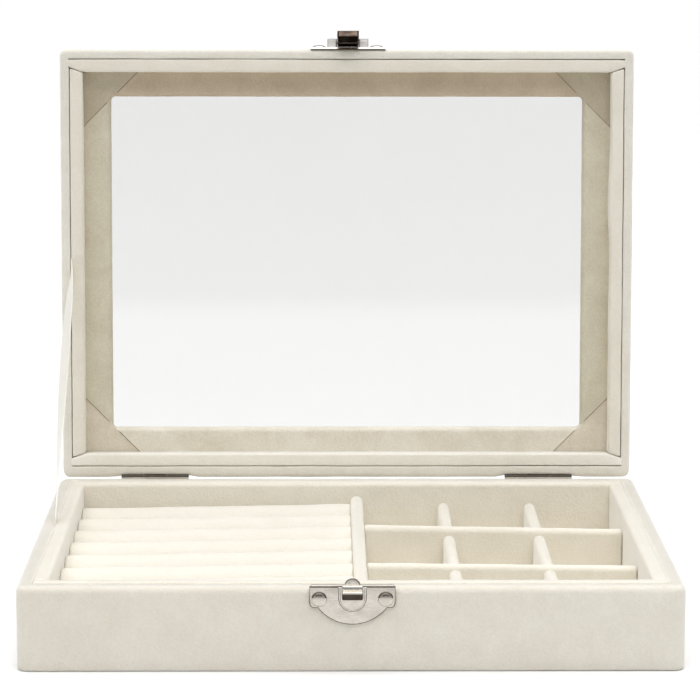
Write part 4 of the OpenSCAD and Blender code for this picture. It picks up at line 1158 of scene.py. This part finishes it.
# %% Swinging hasp
def hasp_box():
    """A folded sheet: a tip bent inwards, a front, a top curled round the pin, and two sides."""
    t, w = 0.45, 3.65
    front, step_z = -LID_D - 6.4, LID_RIM
    bottom = HASP_Z - 12.2
    tip = [(front, bottom + 1.2), (front + 1.7, bottom)]
    tip += [(front + 1.95, bottom + 0.4), (front + t, bottom + 1.5)]
    section = tip + [(front + t, HASP_Z + 0.9), (HASP_Y, HASP_Z + 0.9)]
    section += arc(HASP_Y, HASP_Z, 0.9, 80, -80, 8) + arc(HASP_Y, HASP_Z, 1.35, -80, 90, 8)
    section += arc(front + 1.0, HASP_Z + 0.35, 1.0, 90, 180, 5)
    web = bar(section, CATCH_X - w, CATCH_X + w, along_x, end=0.12, step=0.8)
    inner = HASP_Y - 0.85 + 0.4
    cheek = [(front + 0.1, bottom), (inner, bottom), (inner, step_z)]
    cheek += [(HASP_Y + 1.0, step_z + 0.3), (HASP_Y + 1.0, HASP_Z - 1.0)]
    cheek += arc(HASP_Y, HASP_Z, 1.35, -30, 90, 8)
    cheek += [(front + 0.6, HASP_Z + 1.3), (front + 0.1, HASP_Z + 0.8)]
    cheeks = [bar(cheek, CATCH_X + a, CATCH_X + a + t, along_x, end=0.06, step=0.4) for a in (-w, w - t)]
    return joined(web, *cheeks)


hasp = piece("folded_hasp", hasp_box(), "hasp", ["swinging_hasp"], lid=True, shade=35)
wear(hasp, BRONZE)

# %% [markdown]
# ## The ribbon stay
# A flat satin ribbon is glued into the left seams and goes taut when the lid leans back. It lies
# edge-on in both seams, and turns a little towards the viewer in between. The real ribbon folds
# as the lid shuts. Here it is made in the open pose only and rides on neither body.

# %% Ribbon
RIBBON_HALF, RIBBON_HALF_THICK, RIBBON_TUCK = 2.9, 0.14, 3.8
RIBBON_BASE_Y, RIBBON_LID_S, RIBBON_TURN = 6.95, 72.9, 34
ACROSS = (-1, -0.5, 0, 0.5, 1)
RIBBON_EDGE = [(k, -1) for k in ACROSS] + [(k, 1) for k in reversed(ACROSS)]


def opened(y, z):
    p = lid_turn() @ (Vector((0, y, z)) * MM)
    return p.y / MM, p.z / MM


def ribbon():
    x = -(SEAM_X + LID_SEAM_X) / 2
    start = Vector((x, RIBBON_BASE_Y, RIM))
    end = Vector((x, *opened(LID_D - RIBBON_LID_S, LID_RIM)))
    tail = Vector((x, *opened(LID_D - RIBBON_LID_S, LID_RIM + RIBBON_TUCK))) - end
    path = [start + Vector((0, 0, -RIBBON_TUCK + RIBBON_TUCK * i / 3)) for i in range(3)]
    count = 30
    path += [start.lerp(end, i / count) for i in range(count + 1)]
    path += [end + tail * i / 3 for i in range(1, 4)]
    for i, p in enumerate(path):
        t = max(0, min(1, (i - 3) / count))
        p += Vector((-0.5 * math.sin(math.pi * t), 0, 0))
    bm = bmesh.new()
    rows = []
    for i, p in enumerate(path):
        a, b = path[max(0, i - 1)], path[min(len(path) - 1, i + 1)]
        along = (b - a).normalized()
        flat = along.cross(Vector((1, 0, 0))).normalized()
        t = max(0, min(1, (i - 3) / count))
        turn = math.radians(RIBBON_TURN) * math.sin(math.pi * t ** 1.6) ** 0.6
        wide = (Matrix.Rotation(turn, 3, along) @ flat) * RIBBON_HALF
        thin = along.cross(wide).normalized() * RIBBON_HALF_THICK
        rows.append([bm.verts.new((p + wide * k + thin * s) * MM) for k, s in RIBBON_EDGE])
    for a, b in zip(rows, rows[1:]):
        for i in range(10):
            bm.faces.new((a[i], a[(i + 1) % 10], b[(i + 1) % 10], b[i]))
    bm.faces.new(rows[0][::-1])
    bm.faces.new(rows[-1])
    return bm, start, end, sum((b - a).length for a, b in zip(path, path[1:]))


bm, ribbon_from, ribbon_to, ribbon_long = ribbon()
stay = wear(piece("satin_stay", bm, None, ["ribbon_stay"]), SATIN)
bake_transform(stay)
print("ribbon length", round(ribbon_long, 1), "mm")

# %% [markdown]
# ## Floor and light
# The photograph is a catalogue shot: white all round, with wide light from above and a darker
# room in front, which the glass and the nickel show. The floor is matte and nearly white, the
# sky is bright overhead and behind, and one soft panel hangs over the box.

# %% Floor
FLOOR_FRONT, FLOOR_BACK, FLOOR_SIDE = -0.5, 10.0, 6.0
# From this line back the paper is painted darker: painted shade.
PAINTED_SHADE_FROM_Y = 0.58
NEAR_PAPER, FAR_PAPER_PAINTED_SHADE = (0.88, 0.88, 0.88, 1), (0.815, 0.815, 0.815, 1)


def studio_floor():
    """A flat sheet of white paper. Its far part is painted darker, as painted shade for a wall that would
    rise there.
    """
    mat, tree, shader = surface("studio_floor", 0.9, Specular_IOR_Level=0.1)
    split = linked(tree, "ShaderNodeSeparateXYZ", [(0, object_place(tree))])
    far = ramp(tree, split.outputs["Y"], PAINTED_SHADE_FROM_Y, PAINTED_SHADE_FROM_Y + 0.08)
    tree.links.new(mixed(tree, far, NEAR_PAPER, FAR_PAPER_PAINTED_SHADE), shader.inputs["Base Color"])
    bm = bmesh.new()
    corners = [(-FLOOR_SIDE, FLOOR_FRONT), (FLOOR_SIDE, FLOOR_FRONT)]
    corners += [(FLOOR_SIDE, FLOOR_BACK), (-FLOOR_SIDE, FLOOR_BACK)]
    bm.faces.new([bm.verts.new((x, y, 0)) for x, y in corners])
    mesh = bpy.data.meshes.new("floor")
    bm.to_mesh(mesh)
    bm.free()
    floor = bpy.data.objects.new("floor", mesh)
    mesh.materials.append(mat)
    scene.collection.objects.link(floor)


studio_floor()

# %% Sky and panels
SKY_BACK, SKY_TOP, SKY_FRONT = 0.32, 2.34, 0.28
TOP_PANEL = 2.8


def studio_sky():
    world = bpy.data.worlds.new("studio")
    scene.world = world
    world.use_nodes = True
    tree = world.node_tree
    back = tree.nodes["Background"]
    back.inputs["Color"].default_value = (1, 1, 1, 1)
    way = tree.nodes.new("ShaderNodeTexCoord").outputs["Generated"]
    split = linked(tree, "ShaderNodeSeparateXYZ", [(0, way)])
    depth = ramp(tree, split.outputs["Y"], -0.3, 0.5, SKY_FRONT, SKY_BACK)
    high = ramp(tree, split.outputs["Z"], 0.6, 0.85)
    mix = linked(tree, "ShaderNodeMix", [("Factor", high), ("A", depth), ("B", SKY_TOP)])
    tree.links.new(mix.outputs["Result"], back.inputs["Strength"])


studio_sky()


def panel(name, at, aim, size, power):
    data = bpy.data.lights.new(name, "AREA")
    data.shape = "RECTANGLE"
    data.size, data.size_y = size
    data.energy = power
    obj = bpy.data.objects.new(name, data)
    obj.location = at
    obj.rotation_euler = (Vector(aim) - Vector(at)).to_track_quat("-Z", "Y").to_euler()
    scene.collection.objects.link(obj)


panel("overhead_panel", (0.0, -0.35, 1.25), (0, 0.02, 0.05), (1.2, 0.8), TOP_PANEL)
scene.view_settings.view_transform = "Standard"
scene.view_settings.look = "None"
scene.view_settings.exposure = 0.0
